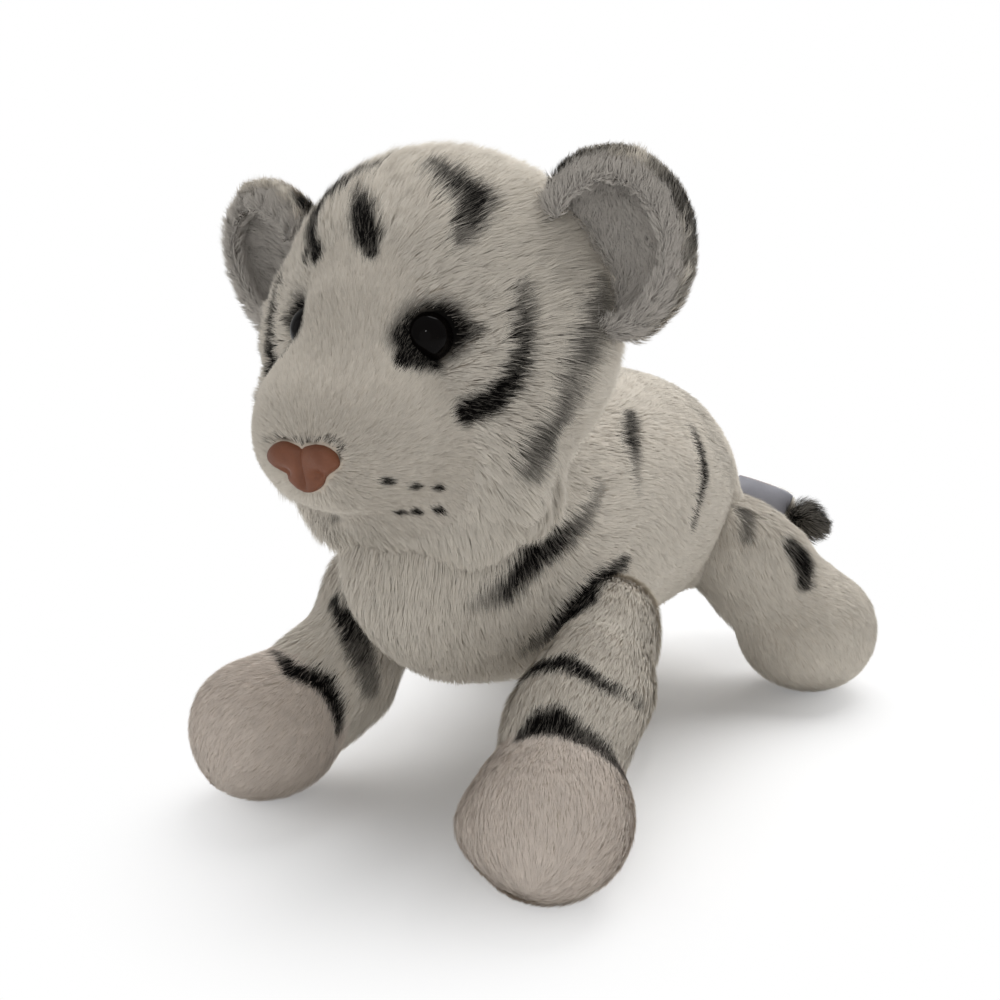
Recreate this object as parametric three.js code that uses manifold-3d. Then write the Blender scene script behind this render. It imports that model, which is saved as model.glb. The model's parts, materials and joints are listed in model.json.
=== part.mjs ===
// A white tiger cub soft toy, lying on its belly with its head up, in millimetres.
// +Z is up, the tiger faces -Y and its left side is at +X. It stands on its four paws.
// Every stuffed piece is a closed form, and the smaller one is cut by the larger one it is sewn to.
import * as THREE from 'three';
import { mergeVertices } from 'three/addons/utils/BufferGeometryUtils.js';
import Module from 'manifold-3d';

const wasm = await Module();
wasm.setup();

// Clearances and small allowances
const SEAM_GAP = 0.35;
const SOCKET_GAP = 0.3;
const SWING_GAP = 2.6;
const OVERRUN = 400;
const FLAT_DEPTH = 0.5;

// Body, from the chest to the rump
const BODY_LENGTH = 224;
const BODY_WIDTH = 94;
const BODY_HEIGHT = 100;
const BODY_CENTRE_HEIGHT = 82;
const BODY_FRONT_REACH = 60;
const BODY_RISE_SHARES = [0.08, 0.02, 0.02, 0, -0.08, -0.2];
const BODY_WIDE_SHARES = [0.8, 0.94, 1, 1, 0.96, 0.8];
const BODY_HIGH_SHARES = [0.86, 1, 1, 1, 0.96, 0.76];
const BODY_BLUNT_SHARE = 2.8;

// Stuffing and pellets inside the body
const BODY_FILL_LENGTH = 120;
const BODY_FILL_WIDTH = 52;
const BODY_FILL_HEIGHT = 54;
const BODY_FILL_BEHIND_SHOULDER = 44;
const RUMP_POUCH_LENGTH = 30;
const RUMP_POUCH_WIDTH = 28;
const RUMP_POUCH_HEIGHT = 34;
const RUMP_POUCH_AHEAD = 21.5;

// Neck, a ball of packed stuffing between two sockets
const NECK_RADIUS = 31;
const NECK_HEIGHT = 120;
const NECK_AHEAD = 10;
const HEAD_TURN_DEGREES = 15;
const NOD_DOWN_DEGREES = 10;
const NOD_UP_DEGREES = 8;

// Head, from its back to the brow
const HEAD_LENGTH = 100;
const HEAD_WIDTH = 116;
const HEAD_HEIGHT = 116;
const HEAD_CENTRE_HEIGHT = 153;
const HEAD_BACK_REACH = 24;
const HEAD_RISE_SHARES = [-0.05, -0.01, 0.01, -0.02, -0.09];
const HEAD_WIDE_SHARES = [0.82, 0.98, 0.92, 0.65, 0.3];
const HEAD_HIGH_SHARES = [0.84, 0.97, 0.97, 0.84, 0.66];
const HEAD_BLUNT_SHARE = 2.5;
const HEAD_FILL_RADIUS = 23;

// Muzzle, from the bridge to the nose
const MUZZLE_LENGTH = 58;
const MUZZLE_WIDTH = 62;
const MUZZLE_HEIGHT = 58;
const MUZZLE_CENTRE_HEIGHT = 135;
const MUZZLE_FRONT_REACH = 95;
const MUZZLE_RISE_SHARES = [0.14, 0.08, -0.04, -0.12];
const MUZZLE_WIDE_SHARES = [1, 1, 0.94, 0.84];
const MUZZLE_HIGH_SHARES = [1.1, 1.02, 0.9, 0.76];
const MUZZLE_BLUNT_SHARE = 3;

// Bridge of the nose, the muzzle's own panel from the brow down to the nose
const BRIDGE_PATH = [[44, 180], [64, 160], [82, 142]];
const BRIDGE_HALF_WIDTHS = [18, 19, 23];
const BRIDGE_HALF_HEIGHT = 12;
const BRIDGE_BLUNT_SHARE = 3.4;

// Nose, a padded heart with a shank
const NOSE_WIDTH = 23;
const NOSE_HEIGHT = 14;
const NOSE_THICKNESS = 5;
const NOSE_CENTRE_HEIGHT = 127;
const NOSE_TILT_DEGREES = 14;
const NOSE_SUNK = 0.5;
const NOSE_BEVEL = 1.4;
const NOSE_OUTLINE_SHARES = [
  [0.3, -1, 0.45, -0.3, 0.85, 0.05],
  [1.15, 0.45, 0.85, 1.1, 0.5, 1],
  [0.3, 0.95, 0.15, 0.6, 0, 0.6],
];

// Eyes, glossy domes on shanks
const EYE_RADIUS = 6.6;
const EYE_BULGE = 5;
const EYE_SPREAD = 19.5;
const EYE_HEIGHT = 159;
const EYE_AHEAD = 60.5;
const EYE_SPLAY_DEGREES = 38;

// Shanks and lock washers of the eyes and the nose
const SHANK_RADIUS = 2;
const SHANK_LENGTH = 13;
const WASHER_RADIUS = 6;
const WASHER_THICKNESS = 1.6;
const WASHER_DEPTH = 8;

// Ears, cups of fur with a smooth lining
const EAR_WIDTH = 52;
const EAR_HEIGHT = 59;
const EAR_DEPTH = 34;
const EAR_WALL = 6.5;
const EAR_LINING = 2.2;
const EAR_SPREAD = 55;
const EAR_CENTRE_HEIGHT = 180;
const EAR_AHEAD = 20;
const EAR_SPLAY_DEGREES = 16;
const EAR_CUT = 5;

// Fore legs and fore paws
const SHOULDER_SPREAD = 44;
const SHOULDER_HEIGHT = 60;
const SHOULDER_AHEAD = 2;
const SHOULDER_RADIUS = 21;
const FORELEG_RADIUS = 20.5;
const WRIST_RADIUS = 21;
const FOREPAW_WIDTH = 51;
const FOREPAW_LENGTH = 55;
const FOREPAW_HEIGHT = 50;
const LEFT_FOREPAW_SPREAD = 54;
const LEFT_FOREPAW_AHEAD = 60;
const RIGHT_FOREPAW_SPREAD = 61;
const RIGHT_FOREPAW_AHEAD = 40;
const PAW_BLUNT_SHARE = 2.4;
const PAW_END_SHARE = 0.92;
const LEG_BLUNT_SHARE = 5;
const ELBOW_SHARE = 0.45;
const ELBOW_OUT = -2;
const LEFT_ELBOW_DROP = -6;
const RIGHT_ELBOW_DROP = 14;
const FORELEG_RAISE_DEGREES = 30;
const FORELEG_DROP_DEGREES = 6;

// Hind legs and hind paws
const HIP_SPREAD = 38;
const HIP_HEIGHT = 57;
const HIP_BEHIND = 120;
const HIP_RADIUS = 24;
const HINDLEG_RADIUS = 24;
const HOCK_RADIUS = 23.5;
const HINDPAW_WIDTH = 54;
const HINDPAW_LENGTH = 54;
const HINDPAW_HEIGHT = 50;
const HINDPAW_SPREAD = 63;
const HINDPAW_BEHIND = 130;
const HINDLEG_SWING_DEGREES = 15;
const HINDPAW_HEADING_OUT = 8;
const HINDPAW_HEADING_AHEAD = 3;
const KNEE_SHARE = 0.5;

// Pellet pouch of every paw
const PAW_POUCH_RADIUS = 11;
const POUCH_NECK_RADIUS = 5;

// Tail
const TAIL_RADIUS = 10;
const TAIL_ROOT_RADIUS = 11.5;
const TAIL_ROOT_DROP = 2;
const TAIL_ROOT_INSIDE = 7;
const TAIL_TIP_SHARE = 0.3;
const TAIL_BLUNT_SHARE = 8;
const TAIL_SPAN = 55;
const TAIL_PATH_SHARES = [[0, 0, 0], [0.22, 0.42, -0.03], [0.62, 0.55, -0.1], [0.96, 0.28, -0.18]];
const TAIL_SWING_DEGREES = 40;

// Sewn-in label at the tail's root
const LABEL_LENGTH = 24;
const LABEL_WIDTH = 13;
const LABEL_THICKNESS = 0.8;
const LABEL_LIFT = 0.4;
const LABEL_ROLL_DEGREES = 40;
const LABEL_ALONG_SHARE = 0.34;

// Facets of the forms
const BODY_SIDES = 18;
const BODY_RINGS = 12;
const SWING_SIDES = 12;
const SWING_RINGS = 9;
const PAW_SIDES = 16;
const PAW_RINGS = 8;
const LIMB_SIDES = 12;
const LIMB_RINGS = 6;
const NECK_SIDES = 16;
const SMALL_SIDES = 10;
const FILL_SIDES = 8;
const NOSE_STEPS = 4;
const BALL_RINGS_SHARE = 0.6;

const WHITE_FUR = { color: 0xcfc8ba, roughness: 0.95, metalness: 0 };
const BLACK_FUR = { color: 0x2b2a28, roughness: 0.95, metalness: 0 };
const EAR_LINING_PLUSH = { color: 0xb9b3aa, roughness: 0.9, metalness: 0 };
const STUFFING = { color: 0xe9e9e6, roughness: 1, metalness: 0 };
const PELLETS = { color: 0xd8d8d4, roughness: 0.6, metalness: 0 };
const EYE_PLASTIC = { color: 0x0a0909, roughness: 0.08, metalness: 0 };
const WASHER_PLASTIC = { color: 0xefefef, roughness: 0.5, metalness: 0 };
const NOSE_LEATHER = { color: 0x8c5a45, roughness: 0.55, metalness: 0 };
const LABEL_SATIN = { color: 0xd4d4da, roughness: 0.5, metalness: 0 };

const UP = new THREE.Vector3(0, 0, 1);
const UPRIGHT = new THREE.Vector3(0, 1, 0);
const SIDEWAYS = new THREE.Vector3(1, 0, 0);
const SIDES = { left: 1, right: -1 };

// The value at share t of a row of values spread evenly, joined smoothly
function along(values, t) {
  const last = values.length - 1;
  const place = Math.min(t * last, last - 1e-9);
  const i = Math.floor(place);
  const at = (k) => values[Math.min(Math.max(k, 0), last)];
  const f = place - i;
  const slopeIn = (at(i + 1) - at(i - 1)) / 2;
  const slopeOut = (at(i + 2) - at(i)) / 2;
  const f2 = f * f;
  const f3 = f2 * f;
  return (2 * f3 - 3 * f2 + 1) * at(i) + (f3 - 2 * f2 + f) * slopeIn
    + (3 * f2 - 2 * f3) * at(i + 1) + (f3 - f2) * slopeOut;
}

// A round form drawn in to a point at each end, its rings square to a path.
// wide and high hold half sizes spread along the path, and grow swells the whole form.
// blunt is the power of the curve that draws the ends in: at 2 they are round, above it blunter.
function stuffed({ path, wide, high, blunt, sides, rings, grow = 0 }) {
  const curve = new THREE.CatmullRomCurve3(path, false, 'centripetal');
  const points = [];
  for (let i = 0; i <= rings; i++) {
    const t = (1 - Math.cos((Math.PI * i) / rings)) / 2;
    const reach = 2 * t - 1;
    const tangent = curve.getTangentAt(t);
    const side = new THREE.Vector3().crossVectors(tangent, UP).normalize();
    const rise = new THREE.Vector3().crossVectors(side, tangent);
    const centre = curve.getPointAt(t).addScaledVector(tangent, grow * reach ** 3);
    if (i === 0 || i === rings) {
      points.push(centre);
      continue;
    }
    const fullness = (1 - Math.abs(reach) ** blunt) ** (1 / blunt);
    const across = along(wide, t) * fullness + grow;
    const upward = along(high, t) * fullness + grow;
    for (let j = 0; j < sides; j++) {
      const turn = (2 * Math.PI * j) / sides;
      points.push(centre.clone()
        .addScaledVector(side, across * Math.cos(turn))
        .addScaledVector(rise, upward * Math.sin(turn)));
    }
  }
  const end = points.length - 1;
  const at = (ring, j) => 1 + (ring - 1) * sides + (j % sides);
  const index = [];
  for (let j = 0; j < sides; j++) {
    index.push(0, at(1, j), at(1, j + 1));
    index.push(end, at(rings - 1, j + 1), at(rings - 1, j));
    for (let ring = 1; ring < rings - 1; ring++) {
      index.push(at(ring, j), at(ring + 1, j), at(ring, j + 1));
      index.push(at(ring, j + 1), at(ring + 1, j), at(ring + 1, j + 1));
    }
  }
  const geometry = new THREE.BufferGeometry().setFromPoints(points);
  geometry.setIndex(index);
  return geometry;
}

function ballRings(sides) {
  return Math.round(sides * BALL_RINGS_SHARE);
}

// A ball or an egg of the given half sizes
function egg(centre, halfWidth, halfLength, halfHeight, sides = LIMB_SIDES) {
  const geometry = new THREE.SphereGeometry(1, sides, ballRings(sides));
  geometry.scale(halfWidth, halfHeight, halfLength);
  geometry.rotateX(Math.PI / 2);
  return geometry.translate(centre.x, centre.y, centre.z);
}

function ball(centre, radius, sides = LIMB_SIDES) {
  return egg(centre, radius, radius, radius, sides);
}

// A socket for a ball that turns in it: its flats clear the ball's corners, and its corners lie between them
function socket(centre, radius, sides = LIMB_SIDES) {
  const step = Math.PI / sides;
  const flatShare = Math.cos(step) * Math.cos(Math.PI / 2 / ballRings(sides));
  const hollow = ball(new THREE.Vector3(), (radius + SOCKET_GAP) / flatShare, sides).rotateZ(step);
  return hollow.translate(centre.x, centre.y, centre.z);
}

// The solid inside a closed geometry
function solid(geometry) {
  const bare = geometry.clone();
  bare.deleteAttribute('normal');
  bare.deleteAttribute('uv');
  const merged = mergeVertices(bare);
  return new wasm.Manifold(new wasm.Mesh({
    numProp: 3,
    vertProperties: merged.attributes.position.array,
    triVerts: Uint32Array.from(merged.index.array),
  }));
}

// A named mesh of a solid
function piece(name, shape, look) {
  const { vertProperties, triVerts } = shape.getMesh();
  const geometry = new THREE.BufferGeometry();
  geometry.setAttribute('position', new THREE.BufferAttribute(vertProperties, 3));
  geometry.setIndex(new THREE.BufferAttribute(triVerts, 1));
  geometry.computeVertexNormals();
  const mesh = new THREE.Mesh(geometry, new THREE.MeshStandardMaterial(look));
  mesh.name = name;
  return mesh;
}

// A geometry turned by an angle in degrees about an axis through a pivot
function turned(geometry, pivot, axis, degrees) {
  const copy = geometry.clone();
  copy.translate(-pivot.x, -pivot.y, -pivot.z);
  copy.applyMatrix4(new THREE.Matrix4().makeRotationAxis(axis, THREE.MathUtils.degToRad(degrees)));
  return copy.translate(pivot.x, pivot.y, pivot.z);
}

// A geometry made along +Y, set at a point and turned outward
function aimed(geometry, point, outward) {
  geometry.applyQuaternion(new THREE.Quaternion().setFromUnitVectors(UPRIGHT, outward));
  return geometry.translate(point.x, point.y, point.z);
}

// The half space below the ground
const ground = solid(new THREE.BoxGeometry(OVERRUN, OVERRUN, OVERRUN).translate(0, 0, -OVERRUN / 2));

function sized(shares, size) {
  return shares.map((share) => (share * size) / 2);
}

// Body
const bodyPath = BODY_RISE_SHARES.map((rise, i) => new THREE.Vector3(
  0,
  BODY_LENGTH * (i / (BODY_RISE_SHARES.length - 1)) - BODY_FRONT_REACH,
  BODY_CENTRE_HEIGHT + rise * BODY_HEIGHT,
));

function bodyForm(grow = 0, sides = BODY_SIDES, rings = BODY_RINGS) {
  return stuffed({
    path: bodyPath,
    wide: sized(BODY_WIDE_SHARES, BODY_WIDTH),
    high: sized(BODY_HIGH_SHARES, BODY_HEIGHT),
    blunt: BODY_BLUNT_SHARE,
    sides,
    rings,
    grow,
  });
}

const neckCentre = new THREE.Vector3(0, -NECK_AHEAD, NECK_HEIGHT);
const tailRoot = bodyPath.at(-1).clone().sub(new THREE.Vector3(0, TAIL_ROOT_INSIDE, TAIL_ROOT_DROP));
const swingBody = bodyForm(SWING_GAP, SWING_SIDES, SWING_RINGS);

// A limb's form without whatever the body would meet as the limb swings about an axis
function clearOfBody(limb, pivot, axis, angles) {
  return angles.reduce((kept, angle) => kept.subtract(solid(turned(swingBody, pivot, axis, -angle))), limb);
}

// One paw with its pellet pouch: a flat-bottomed form along its heading, open at the back inside the leg
function paw(centre, heading, width, length, height) {
  const reach = heading.clone().multiplyScalar(length / 2);
  const make = (grow) => stuffed({
    path: [centre.clone().sub(reach), centre, centre.clone().add(reach)],
    wide: sized([PAW_END_SHARE, 1, PAW_END_SHARE], width),
    high: sized([PAW_END_SHARE, 1, PAW_END_SHARE], height),
    blunt: PAW_BLUNT_SHARE,
    sides: PAW_SIDES,
    rings: PAW_RINGS,
    grow,
  });
  return { skin: solid(make(0)).subtract(ground), grown: solid(make(SEAM_GAP)) };
}

// A pouch of pellets inside a paw, and the pocket that holds it, open towards the leg
function pouch(centre, towards) {
  const mouth = new THREE.Vector3().subVectors(towards, centre);
  const channel = new THREE.CylinderGeometry(POUCH_NECK_RADIUS, POUCH_NECK_RADIUS, mouth.length(), FILL_SIDES);
  channel.translate(0, mouth.length() / 2, 0);
  channel.applyQuaternion(new THREE.Quaternion().setFromUnitVectors(UPRIGHT, mouth.clone().normalize()));
  channel.translate(centre.x, centre.y, centre.z);
  return {
    pellets: solid(ball(centre, PAW_POUCH_RADIUS, FILL_SIDES)),
    pocket: solid(ball(centre, PAW_POUCH_RADIUS + SEAM_GAP, FILL_SIDES)).add(solid(channel)),
  };
}

// A leg with its ball root in the body, its paw and the pellets in the paw
function limb(plan) {
  const { leg, pawName, side, pivot, rootRadius, bend, radii, pawCentre, axis, angles } = plan;
  const { skin, grown } = paw(pawCentre, plan.heading, ...plan.pawSize);
  const form = solid(stuffed({
    path: [pivot, bend, pawCentre],
    wide: radii,
    high: radii,
    blunt: LEG_BLUNT_SHARE,
    sides: LIMB_SIDES,
    rings: LIMB_RINGS,
  }));
  const root = solid(ball(pivot, rootRadius));
  const upper = clearOfBody(form, pivot, axis, angles).add(root).subtract(grown).subtract(ground);
  const { pellets, pocket } = pouch(pawCentre, pivot);
  const group = new THREE.Group();
  group.add(piece(`${leg}_${side}`, upper, WHITE_FUR));
  group.add(piece(`${pawName}_${side}`, skin.subtract(pocket), WHITE_FUR));
  group.add(piece(`${pawName}_pellets_${side}`, pellets, PELLETS));
  return group;
}

// Fore legs swing forward and up about the shoulders, hind legs swing flat about the hips
const shoulders = {};
const hips = {};
const limbs = new THREE.Group();
const forepawAt = {
  left: [LEFT_FOREPAW_SPREAD, LEFT_FOREPAW_AHEAD, LEFT_ELBOW_DROP],
  right: [RIGHT_FOREPAW_SPREAD, RIGHT_FOREPAW_AHEAD, RIGHT_ELBOW_DROP],
};
for (const [side, sign] of Object.entries(SIDES)) {
  const shoulder = new THREE.Vector3(sign * SHOULDER_SPREAD, -SHOULDER_AHEAD, SHOULDER_HEIGHT);
  const [spread, ahead, drop] = forepawAt[side];
  const pawCentre = new THREE.Vector3(sign * spread, -ahead, FOREPAW_HEIGHT / 2 - FLAT_DEPTH);
  const bend = shoulder.clone().lerp(pawCentre, ELBOW_SHARE);
  bend.x += sign * ELBOW_OUT;
  bend.z -= drop;
  const heading = new THREE.Vector3(spread - SHOULDER_SPREAD, SHOULDER_AHEAD - ahead, 0).normalize();
  heading.x *= sign;
  shoulders[side] = shoulder;
  limbs.add(limb({
    leg: 'foreleg',
    pawName: 'forepaw',
    side,
    pivot: shoulder,
    rootRadius: SHOULDER_RADIUS,
    bend,
    radii: [FORELEG_RADIUS, FORELEG_RADIUS, WRIST_RADIUS, WRIST_RADIUS],
    pawCentre,
    heading,
    pawSize: [FOREPAW_WIDTH, FOREPAW_LENGTH, FOREPAW_HEIGHT],
    axis: SIDEWAYS,
    angles: [-FORELEG_RAISE_DEGREES, FORELEG_DROP_DEGREES],
  }));

  const hip = new THREE.Vector3(sign * HIP_SPREAD, HIP_BEHIND, HIP_HEIGHT);
  const hindpaw = new THREE.Vector3(sign * HINDPAW_SPREAD, HINDPAW_BEHIND, HINDPAW_HEIGHT / 2 - FLAT_DEPTH);
  hips[side] = hip;
  limbs.add(limb({
    leg: 'hindleg',
    pawName: 'hindpaw',
    side,
    pivot: hip,
    rootRadius: HIP_RADIUS,
    bend: hip.clone().lerp(hindpaw, KNEE_SHARE),
    radii: [HINDLEG_RADIUS, HINDLEG_RADIUS, HOCK_RADIUS, HOCK_RADIUS],
    pawCentre: hindpaw,
    heading: new THREE.Vector3(sign * HINDPAW_HEADING_OUT, -HINDPAW_HEADING_AHEAD, 0).normalize(),
    pawSize: [HINDPAW_WIDTH, HINDPAW_LENGTH, HINDPAW_HEIGHT],
    axis: UP,
    angles: [-HINDLEG_SWING_DEGREES, HINDLEG_SWING_DEGREES],
  }));
}

// Body, with the stuffing, the rump pouch and the sockets of all that is sewn to it
const fillCentre = new THREE.Vector3(0, BODY_FILL_BEHIND_SHOULDER, BODY_CENTRE_HEIGHT);
const pouchCentre = tailRoot.clone().add(new THREE.Vector3(0, -RUMP_POUCH_AHEAD, 0));

function bodyStuffing(grow) {
  return solid(egg(
    fillCentre,
    BODY_FILL_WIDTH / 2 + grow,
    BODY_FILL_LENGTH / 2 + grow,
    BODY_FILL_HEIGHT / 2 + grow,
  ));
}

function rumpPouch(grow) {
  return solid(egg(
    pouchCentre,
    RUMP_POUCH_WIDTH / 2 + grow,
    RUMP_POUCH_LENGTH / 2 + grow,
    RUMP_POUCH_HEIGHT / 2 + grow,
    SMALL_SIDES,
  ));
}

const neckSocket = solid(socket(neckCentre, NECK_RADIUS, NECK_SIDES));
const tailSocket = solid(socket(tailRoot, TAIL_ROOT_RADIUS, SMALL_SIDES));
let bodySolid = solid(bodyForm()).subtract(neckSocket).subtract(tailSocket);
for (const side of Object.keys(SIDES)) {
  bodySolid = bodySolid
    .subtract(solid(socket(shoulders[side], SHOULDER_RADIUS)))
    .subtract(solid(socket(hips[side], HIP_RADIUS)));
}
bodySolid = bodySolid.subtract(bodyStuffing(SEAM_GAP)).subtract(rumpPouch(SEAM_GAP));
const torso = new THREE.Group();
torso.add(piece('body', bodySolid, WHITE_FUR));
torso.add(piece('body_stuffing', bodyStuffing(0).subtract(neckSocket), STUFFING));
torso.add(piece('rump_pellet_pouch', rumpPouch(0).subtract(tailSocket), PELLETS));
torso.add(piece('neck_stuffing', solid(ball(neckCentre, NECK_RADIUS, NECK_SIDES)), STUFFING));

// Tail, its black tip and the blank label sewn in at its root
const tailPath = TAIL_PATH_SHARES.map(([across, behind, rise]) => tailRoot.clone().add(
  new THREE.Vector3(across * TAIL_SPAN, behind * TAIL_SPAN, rise * TAIL_SPAN),
));
const tailCurve = new THREE.CatmullRomCurve3(tailPath, false, 'centripetal');

function tailForm(grow = 0) {
  return solid(stuffed({
    path: tailPath,
    wide: [TAIL_RADIUS, TAIL_RADIUS, TAIL_RADIUS],
    high: [TAIL_RADIUS, TAIL_RADIUS, TAIL_RADIUS],
    blunt: TAIL_BLUNT_SHARE,
    sides: SMALL_SIDES,
    rings: BODY_RINGS,
    grow,
  }));
}

// Everything beyond the seam of the black tip, from a gap behind the seam
const tipShare = 1 - TAIL_TIP_SHARE;
function beyondSeam(gap) {
  const box = new THREE.BoxGeometry(OVERRUN, OVERRUN, OVERRUN).translate(0, OVERRUN / 2 + gap, 0);
  return solid(aimed(box, tailCurve.getPointAt(tipShare), tailCurve.getTangentAt(tipShare)));
}
const tailShaft = clearOfBody(tailForm(), tailRoot, UP, [0, TAIL_SWING_DEGREES])
  .add(solid(ball(tailRoot, TAIL_ROOT_RADIUS, SMALL_SIDES)))
  .subtract(beyondSeam(0));
const tail = new THREE.Group();
tail.add(piece('tail', tailShaft, WHITE_FUR));
tail.add(piece('tail_tip', tailForm().intersect(beyondSeam(SEAM_GAP)), BLACK_FUR));

// The label lies on the tail: a patch of a thin layer over the tail's upper side
const labelAlong = tailCurve.getTangentAt(LABEL_ALONG_SHARE);
const labelOut = new THREE.Vector3().crossVectors(labelAlong, UP).normalize();
labelOut.applyAxisAngle(labelAlong, -THREE.MathUtils.degToRad(90 - LABEL_ROLL_DEGREES));
const labelAcross = new THREE.Vector3().crossVectors(labelOut, labelAlong);
const labelPatch = new THREE.BoxGeometry(LABEL_LENGTH, LABEL_WIDTH, OVERRUN).translate(0, 0, OVERRUN / 2);
labelPatch.applyMatrix4(new THREE.Matrix4()
  .makeBasis(labelAlong, labelAcross, labelOut)
  .setPosition(tailCurve.getPointAt(LABEL_ALONG_SHARE)));
const labelSolid = tailForm(LABEL_LIFT + LABEL_THICKNESS)
  .subtract(tailForm(LABEL_LIFT))
  .intersect(solid(labelPatch));
tail.add(piece('blank_label', labelSolid, LABEL_SATIN));

// Head and muzzle
const headPath = HEAD_RISE_SHARES.map((rise, i) => new THREE.Vector3(
  0,
  HEAD_BACK_REACH - HEAD_LENGTH * (i / (HEAD_RISE_SHARES.length - 1)),
  HEAD_CENTRE_HEIGHT + rise * HEAD_HEIGHT,
));

function headForm(grow = 0) {
  return solid(stuffed({
    path: headPath,
    wide: sized(HEAD_WIDE_SHARES, HEAD_WIDTH),
    high: sized(HEAD_HIGH_SHARES, HEAD_HEIGHT),
    blunt: HEAD_BLUNT_SHARE,
    sides: BODY_SIDES,
    rings: BODY_RINGS,
    grow,
  }));
}

const muzzleForm = solid(stuffed({
  path: MUZZLE_RISE_SHARES.map((rise, i) => new THREE.Vector3(
    0,
    MUZZLE_LENGTH * (1 - i / (MUZZLE_RISE_SHARES.length - 1)) - MUZZLE_FRONT_REACH,
    MUZZLE_CENTRE_HEIGHT + rise * MUZZLE_HEIGHT,
  )),
  wide: sized(MUZZLE_WIDE_SHARES, MUZZLE_WIDTH),
  high: sized(MUZZLE_HIGH_SHARES, MUZZLE_HEIGHT),
  blunt: MUZZLE_BLUNT_SHARE,
  sides: LIMB_SIDES,
  rings: PAW_RINGS,
})).add(solid(stuffed({
  path: BRIDGE_PATH.map(([ahead, height]) => new THREE.Vector3(0, -ahead, height)),
  wide: BRIDGE_HALF_WIDTHS,
  high: [BRIDGE_HALF_HEIGHT, BRIDGE_HALF_HEIGHT, BRIDGE_HALF_HEIGHT],
  blunt: BRIDGE_BLUNT_SHARE,
  sides: LIMB_SIDES,
  rings: LIMB_RINGS,
})));

function turnedProfile(pairs, sides = SMALL_SIDES) {
  return new THREE.LatheGeometry(pairs.map(([r, y]) => new THREE.Vector2(r, y)), sides);
}

function shank(grow) {
  return turnedProfile([
    [0, -SHANK_LENGTH - grow],
    [SHANK_RADIUS + grow, -SHANK_LENGTH - grow],
    [SHANK_RADIUS + grow, 0],
    [0, 0],
  ]);
}

function washer(grow) {
  const inner = SHANK_RADIUS + SEAM_GAP - grow;
  const outer = WASHER_RADIUS + grow;
  const back = -WASHER_DEPTH - WASHER_THICKNESS - grow;
  const front = -WASHER_DEPTH + grow;
  return turnedProfile([[inner, back], [outer, back], [outer, front], [inner, front], [inner, back]]);
}

// What a shank and its washer need cut out of the stuffed piece that holds them
function shankSeat(point, outward) {
  return solid(aimed(shank(SEAM_GAP), point, outward)).add(solid(aimed(washer(SEAM_GAP), point, outward)));
}

// Eyes
const headParts = new THREE.Group();
const seats = [];
for (const [side, sign] of Object.entries(SIDES)) {
  const splay = THREE.MathUtils.degToRad(EYE_SPLAY_DEGREES);
  const outward = new THREE.Vector3(sign * Math.sin(splay), -Math.cos(splay), 0);
  const point = new THREE.Vector3(sign * EYE_SPREAD, -EYE_AHEAD, EYE_HEIGHT);
  const dome = (grow) => {
    const unit = new THREE.SphereGeometry(1, LIMB_SIDES, SMALL_SIDES);
    return solid(aimed(unit.scale(EYE_RADIUS + grow, EYE_BULGE + grow, EYE_RADIUS + grow), point, outward));
  };
  seats.push(dome(SEAM_GAP).add(shankSeat(point, outward)));
  headParts.add(piece(`eye_${side}`, dome(0).add(solid(aimed(shank(0), point, outward))), EYE_PLASTIC));
  headParts.add(piece(`eye_washer_${side}`, solid(aimed(washer(0), point, outward)), WASHER_PLASTIC));
}

// Nose
const noseTilt = THREE.MathUtils.degToRad(NOSE_TILT_DEGREES);
const noseOutward = new THREE.Vector3(0, -Math.cos(noseTilt), -Math.sin(noseTilt));
const nosePoint = new THREE.Vector3(0, -MUZZLE_FRONT_REACH + NOSE_SUNK, NOSE_CENTRE_HEIGHT);

// The heart's outline: its right half from the tip up to the dip, then the same mirrored
function noseOutline() {
  const width = NOSE_WIDTH / 2 - NOSE_BEVEL;
  const height = NOSE_HEIGHT / 2 - NOSE_BEVEL;
  const at = (x, y) => new THREE.Vector2(x * width, y * height);
  const half = [at(0, -1)];
  for (const [ax, ay, bx, by, x, y] of NOSE_OUTLINE_SHARES) {
    const arc = new THREE.CubicBezierCurve(half.at(-1), at(ax, ay), at(bx, by), at(x, y));
    half.push(...arc.getPoints(NOSE_STEPS).slice(1));
  }
  const mirrored = half.slice(1, -1).reverse().map((point) => new THREE.Vector2(-point.x, point.y));
  return new THREE.Shape([...half, ...mirrored]);
}

function nosePad(grow) {
  const pad = new THREE.ExtrudeGeometry(noseOutline(), {
    depth: NOSE_THICKNESS - 2 * NOSE_BEVEL,
    bevelThickness: NOSE_BEVEL + grow,
    bevelSize: NOSE_BEVEL + grow,
    bevelSegments: 2,
  });
  pad.translate(0, 0, NOSE_BEVEL - NOSE_THICKNESS);
  pad.rotateX(Math.PI / 2 + noseTilt);
  return solid(pad.translate(nosePoint.x, nosePoint.y, nosePoint.z));
}

const noseShankPoint = nosePoint.clone().addScaledVector(noseOutward, -NOSE_THICKNESS / 2);
const noseSeat = nosePad(SEAM_GAP).add(shankSeat(noseShankPoint, noseOutward));
headParts.add(piece('nose', nosePad(0).add(solid(aimed(shank(0), noseShankPoint, noseOutward))), NOSE_LEATHER));
headParts.add(piece('nose_washer', solid(aimed(washer(0), noseShankPoint, noseOutward)), WASHER_PLASTIC));

// A form on the head without whatever the body would meet as the head turns and nods
function clearOfNeck(form) {
  let kept = form;
  for (const turn of [-HEAD_TURN_DEGREES, HEAD_TURN_DEGREES]) {
    for (const nod of [-NOD_UP_DEGREES, NOD_DOWN_DEGREES]) {
      const met = turned(turned(swingBody, neckCentre, UP, -turn), neckCentre, SIDEWAYS, -nod);
      kept = kept.subtract(solid(met));
    }
  }
  return kept;
}

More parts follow.
